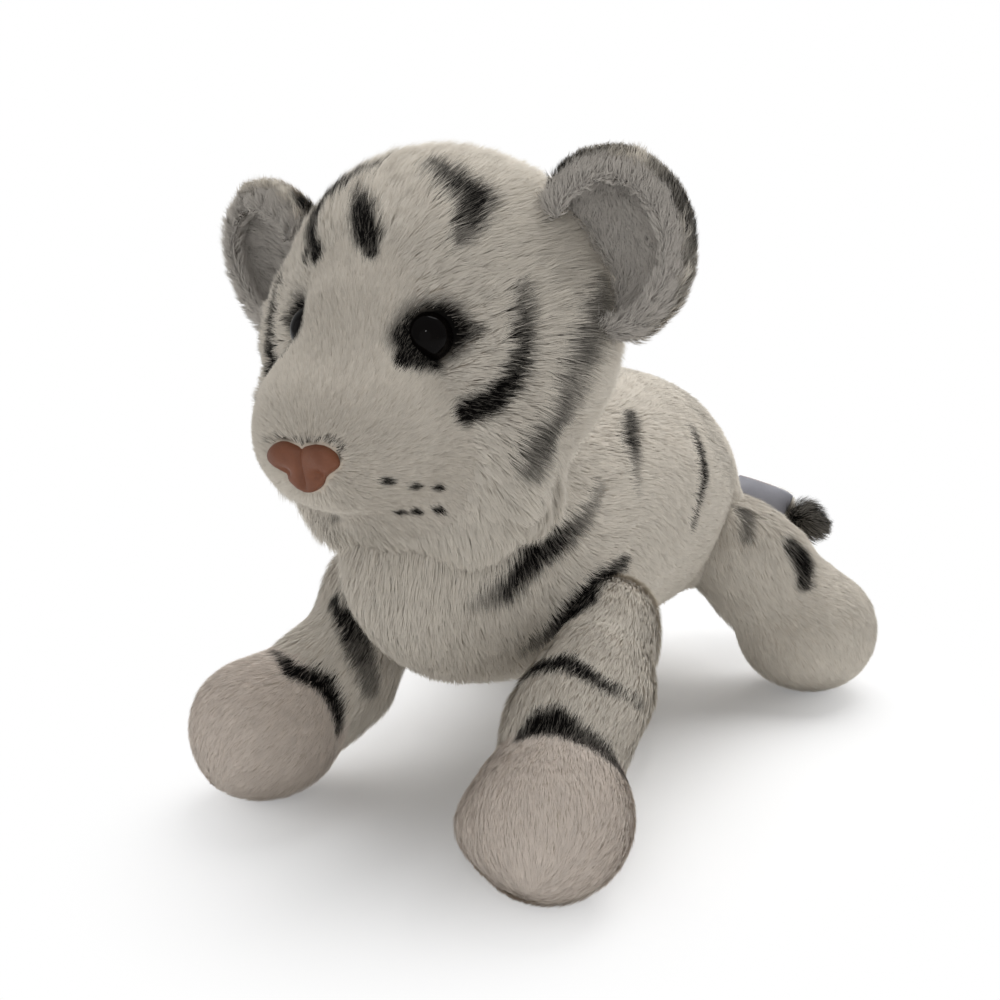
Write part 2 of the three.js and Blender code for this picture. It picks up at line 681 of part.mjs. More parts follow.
const headFillCentre = new THREE.Vector3(0, headPath[2].y, HEAD_CENTRE_HEIGHT);
let headSolid = clearOfNeck(headForm())
  .subtract(neckSocket)
  .subtract(solid(ball(headFillCentre, HEAD_FILL_RADIUS + SEAM_GAP, SMALL_SIDES)));
let muzzleSolid = clearOfNeck(muzzleForm).subtract(headForm(SEAM_GAP)).subtract(noseSeat);
const headFill = solid(ball(headFillCentre, HEAD_FILL_RADIUS, SMALL_SIDES)).subtract(neckSocket);
headParts.add(piece('head_stuffing', headFill, STUFFING));
for (const seat of seats) {
  headSolid = headSolid.subtract(seat);
  muzzleSolid = muzzleSolid.subtract(seat);
}
headParts.add(piece('head', headSolid, WHITE_FUR));
headParts.add(piece('muzzle', muzzleSolid, WHITE_FUR));

// Ears
const headGrown = headForm(SEAM_GAP);
for (const [side, sign] of Object.entries(SIDES)) {
  const centre = new THREE.Vector3(0, 0, 0);
  const cup = (inset) => egg(centre, EAR_WIDTH / 2 - inset, EAR_DEPTH / 2 - inset, EAR_HEIGHT / 2 - inset);
  const place = (geometry) => {
    geometry.rotateZ(THREE.MathUtils.degToRad(sign * EAR_SPLAY_DEGREES));
    return solid(geometry.translate(sign * EAR_SPREAD, -EAR_AHEAD, EAR_CENTRE_HEIGHT));
  };
  const front = () => new THREE.BoxGeometry(OVERRUN, OVERRUN, OVERRUN).translate(0, -OVERRUN / 2 - EAR_CUT, 0);
  const bowl = place(cup(EAR_WALL));
  const outer = place(cup(0)).subtract(bowl).subtract(place(front())).subtract(headGrown);
  const lining = place(cup(EAR_WALL + SEAM_GAP))
    .subtract(place(cup(EAR_WALL + SEAM_GAP + EAR_LINING)))
    .subtract(place(front()))
    .subtract(headGrown);
  headParts.add(piece(`ear_${side}`, outer, WHITE_FUR));
  headParts.add(piece(`ear_lining_${side}`, lining, EAR_LINING_PLUSH));
}

const tiger = new THREE.Group();
tiger.add(torso, limbs, tail, headParts);
const bounds = new THREE.Box3().setFromObject(tiger);
const middle = bounds.getCenter(new THREE.Vector3());
tiger.position.set(-middle.x, -middle.y, -bounds.min.z);
tiger.updateMatrixWorld(true);

export default tiger;
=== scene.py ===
import json
import math
from collections import namedtuple

import bpy
import numpy as np
from mathutils import Matrix, Vector
from mathutils.bvhtree import BVHTree
from mathutils.kdtree import KDTree

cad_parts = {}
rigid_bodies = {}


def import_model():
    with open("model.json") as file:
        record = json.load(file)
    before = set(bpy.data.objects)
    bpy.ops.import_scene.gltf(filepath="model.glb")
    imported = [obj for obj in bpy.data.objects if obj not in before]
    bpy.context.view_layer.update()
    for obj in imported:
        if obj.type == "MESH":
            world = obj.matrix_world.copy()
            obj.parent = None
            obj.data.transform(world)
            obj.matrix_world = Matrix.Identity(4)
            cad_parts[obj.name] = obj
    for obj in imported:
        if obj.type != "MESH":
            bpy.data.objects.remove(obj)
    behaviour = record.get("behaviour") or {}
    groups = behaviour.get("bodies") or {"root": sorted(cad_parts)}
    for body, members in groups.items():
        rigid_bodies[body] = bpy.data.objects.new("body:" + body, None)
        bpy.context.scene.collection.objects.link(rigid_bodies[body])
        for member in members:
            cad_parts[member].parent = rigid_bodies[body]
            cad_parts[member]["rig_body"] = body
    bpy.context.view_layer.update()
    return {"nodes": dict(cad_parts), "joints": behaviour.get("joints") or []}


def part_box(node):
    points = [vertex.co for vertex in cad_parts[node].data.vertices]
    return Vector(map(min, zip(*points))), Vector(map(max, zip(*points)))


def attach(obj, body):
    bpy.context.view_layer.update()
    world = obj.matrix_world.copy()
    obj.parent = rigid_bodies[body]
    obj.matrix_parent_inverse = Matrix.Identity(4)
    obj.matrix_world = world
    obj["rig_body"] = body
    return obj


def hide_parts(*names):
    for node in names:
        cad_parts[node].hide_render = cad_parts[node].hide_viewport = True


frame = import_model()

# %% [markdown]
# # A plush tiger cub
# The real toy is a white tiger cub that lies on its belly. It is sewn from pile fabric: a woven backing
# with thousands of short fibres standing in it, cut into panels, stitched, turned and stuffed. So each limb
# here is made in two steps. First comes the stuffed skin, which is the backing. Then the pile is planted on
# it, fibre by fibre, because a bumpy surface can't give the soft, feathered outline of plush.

MM = 0.001

# %% [markdown]
# ## The camera
# The stripes of the toy are read from the photograph, so the camera comes first. It stands to the toy's
# left and a little above it. Its place, its turn and its lens were fitted to the paws, the eyes, the nose
# and the crown, and a pixel of the picture becomes a ray that can be cast onto the skins.

# %% The camera's place and lens
PICTURE_SIZE, FOCAL_PIXELS, SENSOR = 1000, 1600, 36
PICTURE_MIDDLE = (PICTURE_SIZE / 2, PICTURE_SIZE / 2)
CAMERA_PLACE = Vector((0.251, -0.4752, 0.2205))
CAMERA_AZIMUTH, CAMERA_DOWN, CAMERA_ROLL = (math.radians(angle) for angle in (30, 14, 1.5))

forward = Vector((-math.sin(CAMERA_AZIMUTH) * math.cos(CAMERA_DOWN),
                  math.cos(CAMERA_AZIMUTH) * math.cos(CAMERA_DOWN), -math.sin(CAMERA_DOWN)))
level_right = Vector((math.cos(CAMERA_AZIMUTH), math.sin(CAMERA_AZIMUTH), 0))
level_up = level_right.cross(forward)
right = level_right * math.cos(CAMERA_ROLL) - level_up * math.sin(CAMERA_ROLL)
up = level_up * math.cos(CAMERA_ROLL) + level_right * math.sin(CAMERA_ROLL)

camera_data = bpy.data.cameras.new("camera")
camera_data.sensor_width = SENSOR
camera_data.lens = SENSOR * FOCAL_PIXELS / PICTURE_SIZE
camera_data.clip_start, camera_data.clip_end = 0.05, 20
camera = bpy.data.objects.new("camera", camera_data)
bpy.context.scene.collection.objects.link(camera)
turn = Matrix((right, up, -forward)).transposed().to_4x4()
camera.matrix_world = Matrix.Translation(CAMERA_PLACE) @ turn
bpy.context.scene.camera = camera
print("camera", round(camera_data.lens, 1), "mm at", tuple(camera.location))


# %% A ray through a pixel
def pixel_ray(pixel):
    """The direction in which the camera sees this pixel of the picture."""
    across = (pixel[0] - PICTURE_MIDDLE[0]) / FOCAL_PIXELS
    along = (PICTURE_MIDDLE[1] - pixel[1]) / FOCAL_PIXELS
    return (forward + right * across + up * along).normalized()


print("the middle of the picture looks along", tuple(round(x, 3) for x in pixel_ray(PICTURE_MIDDLE)))

# %% [markdown]
# ## Helpers for the stuffed skins
# A stuffed skin starts from a copy of the solid that stands for it. The copy is joined with what lies
# inside it, so that no pocket is left, made of even small faces by a voxel remesh, and drawn in by the
# depth of the pile. Then cloth under pressure rounds it as filling does. That is quicker and more lifelike
# than modelling each rounding by hand.


# %% Selecting, shaping and reading a piece
def only(piece):
    """Selects this piece and nothing else."""
    bpy.ops.object.select_all(action="DESELECT")
    piece.select_set(True)
    bpy.context.view_layer.objects.active = piece


def apply_modifier(piece, kind, **settings):
    """Adds a modifier with these settings and applies it at once."""
    only(piece)
    modifier = piece.modifiers.new(kind.title(), kind)
    for setting, value in settings.items():
        setattr(modifier, setting, value)
    bpy.ops.object.modifier_apply(modifier=modifier.name)


def shade_smooth(piece):
    only(piece)
    bpy.ops.object.shade_smooth()


def read_vectors(items, kind):
    """One vector of each item, such as a vertex's place, as the rows of an array."""
    flat = np.empty(len(items) * 3, np.float32)
    items.foreach_get(kind, flat)
    return flat.reshape(-1, 3).astype(float)


def places(piece):
    return read_vectors(piece.data.vertices, "co")


def surface_normals(piece):
    """The way out of the skin at each of its vertices."""
    return read_vectors(piece.data.vertex_normals, "vector")


def put_places(piece, points):
    piece.data.vertices.foreach_set("co", np.asarray(points, np.float32).ravel())
    piece.data.update()


def smooth_step(low, high, value):
    share = np.clip((np.asarray(value, float) - low) / (high - low), 0, 1)
    return share * share * (3 - 2 * share)


def hump(distance, half):
    """1 in the middle, falling away on both sides as a bell does."""
    return np.exp(-(distance / half) ** 2)


def middle(node):
    """The middle of a solid's box."""
    low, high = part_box(node)
    return np.array((low + high) / 2)


pivots = {joint["name"]: Vector(joint["pos_m"]) for joint in frame["joints"]}
print("seams that move:", ", ".join(sorted(pivots)))


# %% Copying and joining the solids
def loose_copy(node, name):
    """A copy of a solid whose faces are sewn together, free to be shaped."""
    piece = bpy.data.objects.new(name, frame["nodes"][node].data.copy())
    bpy.context.scene.collection.objects.link(piece)
    piece.data.materials.clear()
    only(piece)
    bpy.ops.object.mode_set(mode="EDIT")
    bpy.ops.mesh.select_all(action="SELECT")
    bpy.ops.mesh.remove_doubles(threshold=0.01 * MM)
    bpy.ops.object.mode_set(mode="OBJECT")
    return piece


def joined(parts):
    """Several pieces as one object, named as the first."""
    only(parts[0])
    for part in parts[1:]:
        part.select_set(True)
    bpy.ops.object.join()
    return parts[0]


def ball(centre, radius):
    """A plain ball that fills a pocket before the remesh."""
    bpy.ops.object.select_all(action="DESELECT")
    bpy.ops.mesh.primitive_ico_sphere_add(subdivisions=3, radius=radius, location=centre)
    piece = bpy.context.active_object
    bpy.ops.object.transform_apply(location=True, rotation=True, scale=True)
    return piece


print("pockets are filled with balls before the remesh")

# %% Filling a skin
CLOTH_PRESSURE, CLOTH_QUALITY, CLOTH_FRAMES = 4, 4, 20
LAST_ROUNDS = 4  # of relaxing, once the skin is drawn in


def fill_out(piece, cap):
    """Presses the skin outwards as cloth under pressure does. No point moves further than the cap."""
    start = places(piece)
    only(piece)
    cloth = piece.modifiers.new("Cloth", "CLOTH")
    cloth.settings.use_pressure = True
    cloth.settings.uniform_pressure_force = CLOTH_PRESSURE
    cloth.settings.effector_weights.gravity = 0
    cloth.settings.quality = CLOTH_QUALITY
    cloth.point_cache.frame_start, cloth.point_cache.frame_end = 1, CLOTH_FRAMES
    for number in range(1, CLOTH_FRAMES + 1):
        bpy.context.scene.frame_set(number)
    bpy.ops.object.modifier_apply(modifier=cloth.name)
    bpy.context.scene.frame_set(1)
    move = places(piece) - start
    move -= move.mean(0)
    length = np.linalg.norm(move, axis=1, keepdims=True)
    put_places(piece, start + move * np.minimum(1, cap / np.maximum(length, 1e-9)))


def push(piece, place, reach, by, sign=1):
    """Moves the skin round a place, most at the place and not at all beyond the reach, all in mm.

    With a sign of -1 it does the mirror image of that."""
    flip = (sign, 1, 1)
    points = places(piece)
    distance = np.linalg.norm(points - np.array(place) * flip * MM, axis=1)
    share = (1 - smooth_step(0, reach * MM, distance))[:, None]
    put_places(piece, points + share * (np.array(by) * flip * MM))


def draw_in(piece, depth):
    """Moves each vertex inwards by its own depth, to leave room for the pile."""
    points = places(piece)
    depths = depth(points) if callable(depth) else np.full(len(points), depth)
    put_places(piece, points - surface_normals(piece) * depths[:, None])


def even_faces(piece, size, rounds):
    """Makes the piece anew of even faces, and relaxes them in some rounds."""
    apply_modifier(piece, "REMESH", mode="VOXEL", voxel_size=size)
    apply_modifier(piece, "SMOOTH", factor=0.5, iterations=rounds)


def stuffed_skin(name, nodes, depth, fillers=(), voxel=4 * MM, cap=2.5 * MM, rounds=1, rounding=6):
    """The skin under the pile: the solids joined, rounded, drawn in by the pile's depth and filled."""
    piece = joined([loose_copy(node, name) for node in nodes] + [ball(*filler) for filler in fillers])
    piece.name = name
    even_faces(piece, voxel, rounding)
    draw_in(piece, depth)
    even_faces(piece, voxel, LAST_ROUNDS)
    if cap:
        fill_out(piece, cap)
    if rounds:
        apply_modifier(piece, "SUBSURF", levels=rounds, render_levels=rounds)
    shade_smooth(piece)
    return piece


print("a skin is made of even faces, drawn in and filled")

# %% [markdown]
# ## The skins
# The body, the head and the limbs are sewn from separate panels and stuffed on their own, so each is a
# piece of its own here, and moves with its own body of the frame. The pile is deep on the head and the body
# and short on the muzzle and the paws, and each skin is drawn in by what its pile will add. The face is one
# skin: a panel of short pile runs from the forehead down the bridge of the nose and round the muzzle, and
# is sewn into the long pile of the cheeks without a step.

# %% The panel of short pile on the face
FACE_PANEL = [((0, -95, 178), 13), ((0, -108, 166), 17), ((0, -122, 152), 21), ((0, -130, 139), 27),
              ((0, -122, 128), 31)]  # its middle line and its half width, in mm
PANEL_EDGE = (0.86, 1.3)  # where the short pile gives way to the long, in shares of the half width
CHIN_HEIGHTS = (96, 112)  # where the panel ends under the chin, in mm


def face_share(points):
    """1 on the short pile of the face, 0 in the long pile, and between them near the seam."""
    best = np.zeros(len(points))
    for (start, wide), (end, end_wide) in zip(FACE_PANEL, FACE_PANEL[1:]):
        start, span = np.array(start) * MM, (np.array(end) - np.array(start)) * MM
        along = np.clip(((points - start) @ span) / (span @ span), 0, 1)
        distance = np.linalg.norm(points - start - along[:, None] * span, axis=1)
        reach = (wide + (end_wide - wide) * along) * MM
        best = np.maximum(best, 1 - smooth_step(*PANEL_EDGE, distance / reach))
    return best * smooth_step(*CHIN_HEIGHTS, points[:, 2] / MM)


print("the panel runs", FACE_PANEL[0][0][2] - FACE_PANEL[-1][0][2], "mm down the face")

# %% What fills the skins, and where they bulge
DEPTH = {"body": 2.8, "head": 4.5, "face": 1.5, "leg": 2, "paw": 1, "ear": 1.6, "lining": 0.3,
         "tail": 2.6}  # how far a skin is drawn in for its pile, in mm
SIDES = {"left": 1, "right": -1}  # each side with the sign of its x
HEAD_NODES = ["head", "head_stuffing", "muzzle", "nose", "nose_washer", "eye_left", "eye_right"]
NECK_FILL, TAIL_FILL = 31.5 * MM, 11 * MM
SOCKET_IN = 9 * MM  # how far inside its seam each socket of the body is filled
WRIST_SHARE = 0.42  # where between a paw and its limb's seam the limb is filled
LIMBS = {  # a limb's paw and seam, the radius of its socket, and the ball between limb and paw
    "foreleg_": {"paw": "forepaw_", "seam": "_raise", "socket": 19 * MM, "ball": 17 * MM, "up": 0},
    "hindleg_": {"paw": "hindpaw_", "seam": "_swing", "socket": 21 * MM, "ball": 20 * MM, "up": 3.5 * MM}}
SEAM_DEPTH, SEAM_AT, SEAM_HALF = 1.6 * MM, 1.07, 0.07  # the groove of a wrist, in shares of the paw's radius
PAW_EDGE = (1.0, 1.12)  # where a paw ends, in the same shares
CHEEK_FILLS = [((34, -96, 117), 15), ((33, -97, 132), 14), ((0, -103, 111), 20), ((18, -93, 106), 20),
               ((31, -82, 110), 16.5)]  # balls on the left: a place and a radius, in mm

# Where a skin bulges or is drawn in: a place, how far that reaches and which way it goes, in mm.
HEAD_PUSHES = [((48, -90, 148), 36, (7, -4, -1)), ((20, -113, 157), 15, (-1.2, 2.6, -0.5))]
LIMB_PUSHES = {
    "foreleg_left": [((64, -74, 49), 24, (3.6, 2.1, 0)), ((62, -49, 62), 18, (-2.6, -1.2, 0)),
                     ((32, -120, 21), 17, (-2.8, -1.4, 0))],
    "foreleg_right": [((-53, -67, 68), 18, (3.4, 1, -2))],
    "hindleg_left": [((47, 71, 76), 22, (0, 1, -6))],
    "hindleg_right": [((-47, 71, 76), 22, (0, 1, -6))]}
print("the head is made from", ", ".join(HEAD_NODES))


# %% The body and the head
def head_depth(points):
    return (DEPTH["head"] - (DEPTH["head"] - DEPTH["face"]) * face_share(points)) * MM


skins = {}
seams = {limb + side: pivots[limb + side + spec["seam"]] for limb, spec in LIMBS.items() for side in SIDES}
sockets = [(pivots["head_turn"], NECK_FILL), (pivots["tail_swing"], TAIL_FILL)]
for limb, spec in LIMBS.items():
    for side, sign in SIDES.items():
        sockets.append((seams[limb + side] - Vector((sign * SOCKET_IN, 0, 0)), spec["socket"]))
skins["body"] = stuffed_skin("body_skin", ["body", "body_stuffing", "rump_pellet_pouch"], DEPTH["body"] * MM,
                             sockets)
cheeks = [(Vector((place[0] * sign, place[1], place[2])) * MM, radius * MM)
          for place, radius in CHEEK_FILLS for sign in (-1, 1)]
skins["head"] = stuffed_skin("head_skin", HEAD_NODES, head_depth, [(pivots["head_nod"], NECK_FILL)] + cheeks,
                             voxel=3.2 * MM, cap=1.5 * MM, rounding=9)
for sign in SIDES.values():
    for place, reach, by in HEAD_PUSHES:
        push(skins["head"], place, reach, by, sign)
print("the body has", len(sockets), "sockets")


# %% The limbs
def paw_reach(paw):
    """How far points lie from a paw's middle, in shares of its radius."""
    centre, radius = middle(paw), float((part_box(paw)[1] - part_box(paw)[0]).x / 2)
    return lambda points: np.linalg.norm(points - centre, axis=1) / radius


def paw_share(paw):
    """1 on a paw and 0 above its wrist."""
    reach = paw_reach(paw)
    return lambda points: 1 - smooth_step(*PAW_EDGE, reach(points))


def leg_depth(paw):
    """The depth of the pile on a leg and its paw, and the groove where they are sewn together."""
    reach, on_paw = paw_reach(paw), paw_share(paw)
    leg, paw_less = DEPTH["leg"], DEPTH["leg"] - DEPTH["paw"]
    return lambda points: ((leg - paw_less * on_paw(points)) * MM
                           + SEAM_DEPTH * hump(reach(points) - SEAM_AT, SEAM_HALF))


def limb_skin(limb, side):
    """A leg and its paw as one skin, with a ball of filling between them."""
    spec, name = LIMBS[limb], limb + side
    paw = spec["paw"]
    toe = middle(paw + side)
    bridge = Vector(toe + (np.array(seams[name]) - toe) * WRIST_SHARE)
    bridge.z += spec["up"]
    skins[name] = stuffed_skin(limb + "skin_" + side, [name, paw + side, paw + "pellets_" + side],
                               leg_depth(paw + side), [(bridge, spec["ball"])], voxel=3 * MM)
    for place, reach, by in LIMB_PUSHES[name]:
        push(skins[name], place, reach, by)


print("a paw ends at", PAW_EDGE[0], "to", PAW_EDGE[1], "of its radius")

# %% The ears
LINING_WIDER, LINING_FORWARD, LINING_RIM = 1.1, 2.4 * MM, 0.45  # the lining meets the rim of its cup
EAR_FLOP = (-2.5 * MM, -8 * MM, -9 * MM)  # the right ear hangs lower than the left
FLOP_AT_ROOT = 0.35


def ear_skins(side):
    """An ear's cup and its lining, which is widened and drawn forward to the rim of the cup."""
    cup = stuffed_skin("ear_skin_" + side, ["ear_" + side], DEPTH["ear"] * MM, voxel=2.5 * MM, cap=0)
    lining = stuffed_skin("ear_lining_skin_" + side, ["ear_lining_" + side], DEPTH["lining"] * MM,
                          voxel=0.9 * MM, cap=0, rounds=0)
    points = places(lining)
    centre = points.mean(0)
    out = np.hypot(points[:, 0] - centre[0], points[:, 2] - centre[2])
    flush = smooth_step(LINING_RIM, 1, out / out.max())[:, None] * np.array((0, -LINING_FORWARD, 0))
    put_places(lining, centre + (points - centre) * (LINING_WIDER, 1, LINING_WIDER) + flush)
    skins["ear_" + side], skins["ear_lining_" + side] = cup, lining


def flop(ear):
    """Lets an ear hang, most at its tip."""
    points = places(ear)
    up_the_ear = smooth_step(points[:, 2].min(), points[:, 2].max(), points[:, 2])
    share = FLOP_AT_ROOT + (1 - FLOP_AT_ROOT) * up_the_ear
    put_places(ear, points + share[:, None] * np.array(EAR_FLOP))


for side in SIDES:
    for limb in LIMBS:
        limb_skin(limb, side)
    ear_skins(side)
for name in ("ear_right", "ear_lining_right"):
    flop(skins[name])
for name in ("tail", "tail_tip"):
    skins[name] = stuffed_skin(name + "_skin", [name], DEPTH["tail"] * MM, voxel=3 * MM)
print(len(skins), "skins are sewn and filled")

# %% What the skins stand for
for name, piece in skins.items():
    stands_for = {"head": ["head", "muzzle"]}.get(name, [name])
    if "leg_" in name:
        stands_for.append(name.replace("leg_", "paw_"))
    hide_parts(*stands_for)
    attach(piece, frame["nodes"][name]["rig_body"])
    print(name, len(piece.data.polygons), "faces")

# %% [markdown]
# ## What is inside
# Fibre filling fills the head, the body and the neck, and pouches of pellets weigh down the rump and the
# paws. None of it shows, but the part is kept with its insides, so each gets the lumpy form of real
# filling: the solid, remeshed and roughened by a cloud texture.

# %% Filling and pellet pouches
lumps = bpy.data.textures.new("lumps", "CLOUDS")
lumps.noise_scale = 9 * MM
insides = {"body_stuffing": "stuffing", "head_stuffing": "stuffing", "neck_stuffing": "stuffing",
           "rump_pellet_pouch": "pellets"}
insides.update({paw + "_pellets_" + side: "pellets" for paw in ("forepaw", "hindpaw") for side in SIDES})
fillings = {}
for node, finish in insides.items():
    piece = loose_copy(node, node + "_form")
    even_faces(piece, 3 * MM, 3)
    apply_modifier(piece, "DISPLACE", texture=lumps, texture_coords="LOCAL", strength=2.4 * MM, mid_level=0.9)
    shade_smooth(piece)
    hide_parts(node)
    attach(piece, frame["nodes"][node]["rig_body"])
    fillings[node] = piece
print(len(fillings), "pieces of filling")

# %% [markdown]
# ## The eyes
# A safety eye is one moulding: a polished black dome on a short shank, which goes through the cloth into a
# lock washer. The dome starts as a sphere. Its back is drawn in and pulled out into the shank.

# %% The eyes
EYE_SPLAY = math.radians(38)
EYE_RADIUS, EYE_PROUD, EYE_FRONT = 7.5 * MM, 0.9 * MM, 0.4 * MM
SHANK_FROM, SHANK_SHARE, SHANK_OUT = -0.35 * EYE_RADIUS, 0.3, 2.5 * MM


def eye(side):
    """One dome with its shank, looking outwards from the face."""
    out = Vector((math.sin(EYE_SPLAY) * SIDES[side], -math.cos(EYE_SPLAY), 0))
    solid = places(frame["nodes"]["eye_" + side])
    reach = solid @ np.array(out)
    front = Vector(solid[reach > reach.max() - EYE_FRONT].mean(0))
    bpy.ops.object.select_all(action="DESELECT")
    bpy.ops.mesh.primitive_uv_sphere_add(segments=40, ring_count=24, radius=EYE_RADIUS)
    piece = bpy.context.active_object
    piece.name = "eye_dome_" + side
    bpy.ops.object.mode_set(mode="EDIT")
    bpy.ops.mesh.select_all(action="DESELECT")
    bpy.ops.object.mode_set(mode="OBJECT")
    for vertex in piece.data.vertices:
        vertex.select = vertex.co.z < SHANK_FROM
    bpy.ops.object.mode_set(mode="EDIT")
    bpy.ops.transform.resize(value=(SHANK_SHARE, SHANK_SHARE, 1))
    bpy.ops.transform.translate(value=(0, 0, -SHANK_OUT))
    bpy.ops.mesh.select_all(action="SELECT")
    bpy.ops.mesh.normals_make_consistent(inside=False)
    bpy.ops.object.mode_set(mode="OBJECT")
    shade_smooth(piece)
    centre = front - out * (EYE_RADIUS - EYE_PROUD)
    piece.data.transform(Matrix.Translation(centre) @ out.to_track_quat("Z", "Y").to_matrix().to_4x4())
    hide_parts("eye_" + side)
    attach(piece, "head")
    return piece, centre


eyes = {side: eye(side) for side in SIDES}
print("eyes at", [tuple(round(x / MM, 1) for x in centre) for _, centre in eyes.values()], "mm")

# %% [markdown]
# ## The nose
# The nose is a small heart of soft leather, lightly padded. Two lobes stand out at its top, its sides are
# notched below them for the nostrils, and a sewn crease runs down its middle. It starts from its solid,
# remeshed fine, and the notches and the crease are pressed in.

# %% The nose
NOTCH_UP, NOTCH_HALF, NOTCH_IN = 5.4 * MM, 1.9 * MM, 0.2
PEAK_HALF, PEAK_UP = 3 * MM, 0.9 * MM
CREASE_HALF, CREASE_DEEP = 0.7 * MM, 1.5 * MM
NOSTRIL_OUT, NOSTRIL_UP, NOSTRIL_HALF, NOSTRIL_DEEP = 6.2 * MM, 0.6 * MM, 1.5 * MM, 1.8 * MM
LOBE_OUT, LOBE_UP, LOBE_HALF, LOBE_PROUD = 6.4 * MM, 10.5 * MM, 3 * MM, 0.7 * MM

nose = stuffed_skin("nose_leather_pad", ["nose"], -0.15 * MM, voxel=0.7 * MM, cap=0, rounds=0)
nose_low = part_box("nose")[0]
NOSE_MIDDLE = middle("nose")
points = places(nose)
front_share = 1 - smooth_step(nose_low.y + 3 * MM, nose_low.y + 9 * MM, points[:, 1])
above = points[:, 2] - nose_low.z
aside = np.abs(points[:, 0])
points[:, 0] *= 1 - NOTCH_IN * hump(above - NOTCH_UP, NOTCH_HALF) * smooth_step(2 * MM, 6 * MM, aside)
points[:, 2] += PEAK_UP * hump(points[:, 0], PEAK_HALF) * smooth_step(7 * MM, 12 * MM, above)
crease = hump(points[:, 0], CREASE_HALF) * smooth_step(0.5 * MM, 4 * MM, above)
points[:, 1] += crease * front_share * CREASE_DEEP
nostril = np.hypot((aside - NOSTRIL_OUT) * 0.7, above - NOTCH_UP - NOSTRIL_UP)
points[:, 1] += hump(nostril, NOSTRIL_HALF) * front_share * NOSTRIL_DEEP
lobe = np.hypot(aside - LOBE_OUT, above - LOBE_UP)
points[:, 1] -= hump(lobe, LOBE_HALF) * front_share * LOBE_PROUD
put_places(nose, points)
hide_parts("nose")
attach(nose, "head")
print("nose", len(nose.data.polygons), "faces")

# %% [markdown]
# ## Trees for finding the surface
# To plant fibres only where they would show, and to find where a pixel's ray meets the toy, each skin is
# put into a tree that answers such questions quickly.


# %% Search trees
def tree_of(piece):
    return BVHTree.FromPolygons([v.co.copy() for v in piece.data.vertices],
                                [tuple(p.vertices) for p in piece.data.polygons])


trees = {name: tree_of(piece) for name, piece in skins.items()}
boxes = {name: (places(piece).min(0), places(piece).max(0)) for name, piece in skins.items()}
hard = [(tree_of(piece), np.array(centre)) for piece, centre in (*eyes.values(), (nose, NOSE_MIDDLE))]


def seen_point(pixel, names):
    """The nearest point of these skins that the camera sees at this pixel, or nothing."""
    ray, nearest, found = pixel_ray(pixel), math.inf, None
    for name in names:
        place, _, _, distance = trees[name].ray_cast(CAMERA_PLACE, ray)
        if place is not None and distance < nearest:
            nearest, found = distance, np.array(place)
    return found


def depth_under(points, tree):
    """How deep each point lies under a surface, in metres. It is below 0 outside."""
    depths = np.empty(len(points))
    for row, point in enumerate(points):
        place, normal, _, distance = tree.find_nearest(point)
        inside = (Vector(point) - place).dot(normal) < 0
        depths[row] = distance if inside else -distance
    return depths


print(len(trees), "skins can be searched")

# %% [markdown]
# ## Where the stripes are
# Each stripe is written as a route of pixels along its middle, with its half width in millimetres and how
# black it is. The camera's rays carry the route onto the skin, where it becomes a line in space. A sewn toy
# is cut from mirrored panels, so what shows on its left is mirrored to its right. The picture doesn't show
# the nape and the top of the back. The bars of the nape are made up in the same rhythm. The faint grey on
# the back and along the spine is painted shade, not a stripe: the far side of the back lies in shadow.

# %% Routes of the head's stripes
EYE_PATCH = [((412, 342), 7, 1), ((424, 335), 9, 1), ((438, 331), 9, 1), ((454, 330), 6, 0.95),
             ((477, 329), 2.4, 0.8)]
EYE_CORNER = [((425, 352), 7, 1), ((412, 356), 5.4, 1), ((403, 361), 3.2, 1), ((398, 365), 1.6, 1)]
CHEEK_FRONT = [((521, 288), 2.5, 0.75), ((521, 315), 3.2, 0.85), ((521, 337), 3.5, 0.9),
               ((519, 362), 3.3, 0.95), ((509, 385), 3.5, 1), ((488, 404), 4.3, 1), ((463, 414), 3.6, 1)]
CHEEK_BACK = [((600, 262), 3.6, 0.7), ((590, 290), 4.2, 0.65), ((583, 320), 4.8, 0.75),
              ((575, 350), 5, 0.8), ((566, 372), 4.2, 0.65), ((558, 395), 4.6, 0.7), ((551, 415), 5, 0.75),
              ((536, 440), 5.6, 0.8), ((527, 464), 4.2, 0.7)]
BROW_BAND = [((406, 157), 3.2, 0.8), ((434, 178), 4, 0.9), ((456, 194), 5, 0.95), ((472, 206), 5.6, 1),
             ((468, 224), 4.6, 0.9), ((458, 242), 3, 0.65)]
BROW_SPINDLE = [((362, 194), 2, 0.8), ((365, 215), 4, 1), ((369, 238), 4.4, 1), ((372, 255), 2.2, 0.9)]
BROW_PAIR = [((316, 217), 2.2, 0.9), ((319, 235), 3.6, 1), ((321, 256), 3, 1)]
BROW_PAIR_TAIL = [((304, 249), 1.8, 0.8), ((313, 257), 2.6, 1)]
NOSE_EDGE = [((268, 440), 0.7, 0.8), ((282, 436), 0.8, 0.9), ((306, 441), 0.8, 0.9),
             ((330, 437), 0.8, 0.9), ((343, 445), 0.8, 0.9), ((341, 458), 0.7, 0.8)]
WHISKER_DOTS = [(384, 479), (411, 484), (434, 485), (397, 509), (413, 509), (436, 508)]
MOUTH_MARKS = [(317, 517), (334, 515)]

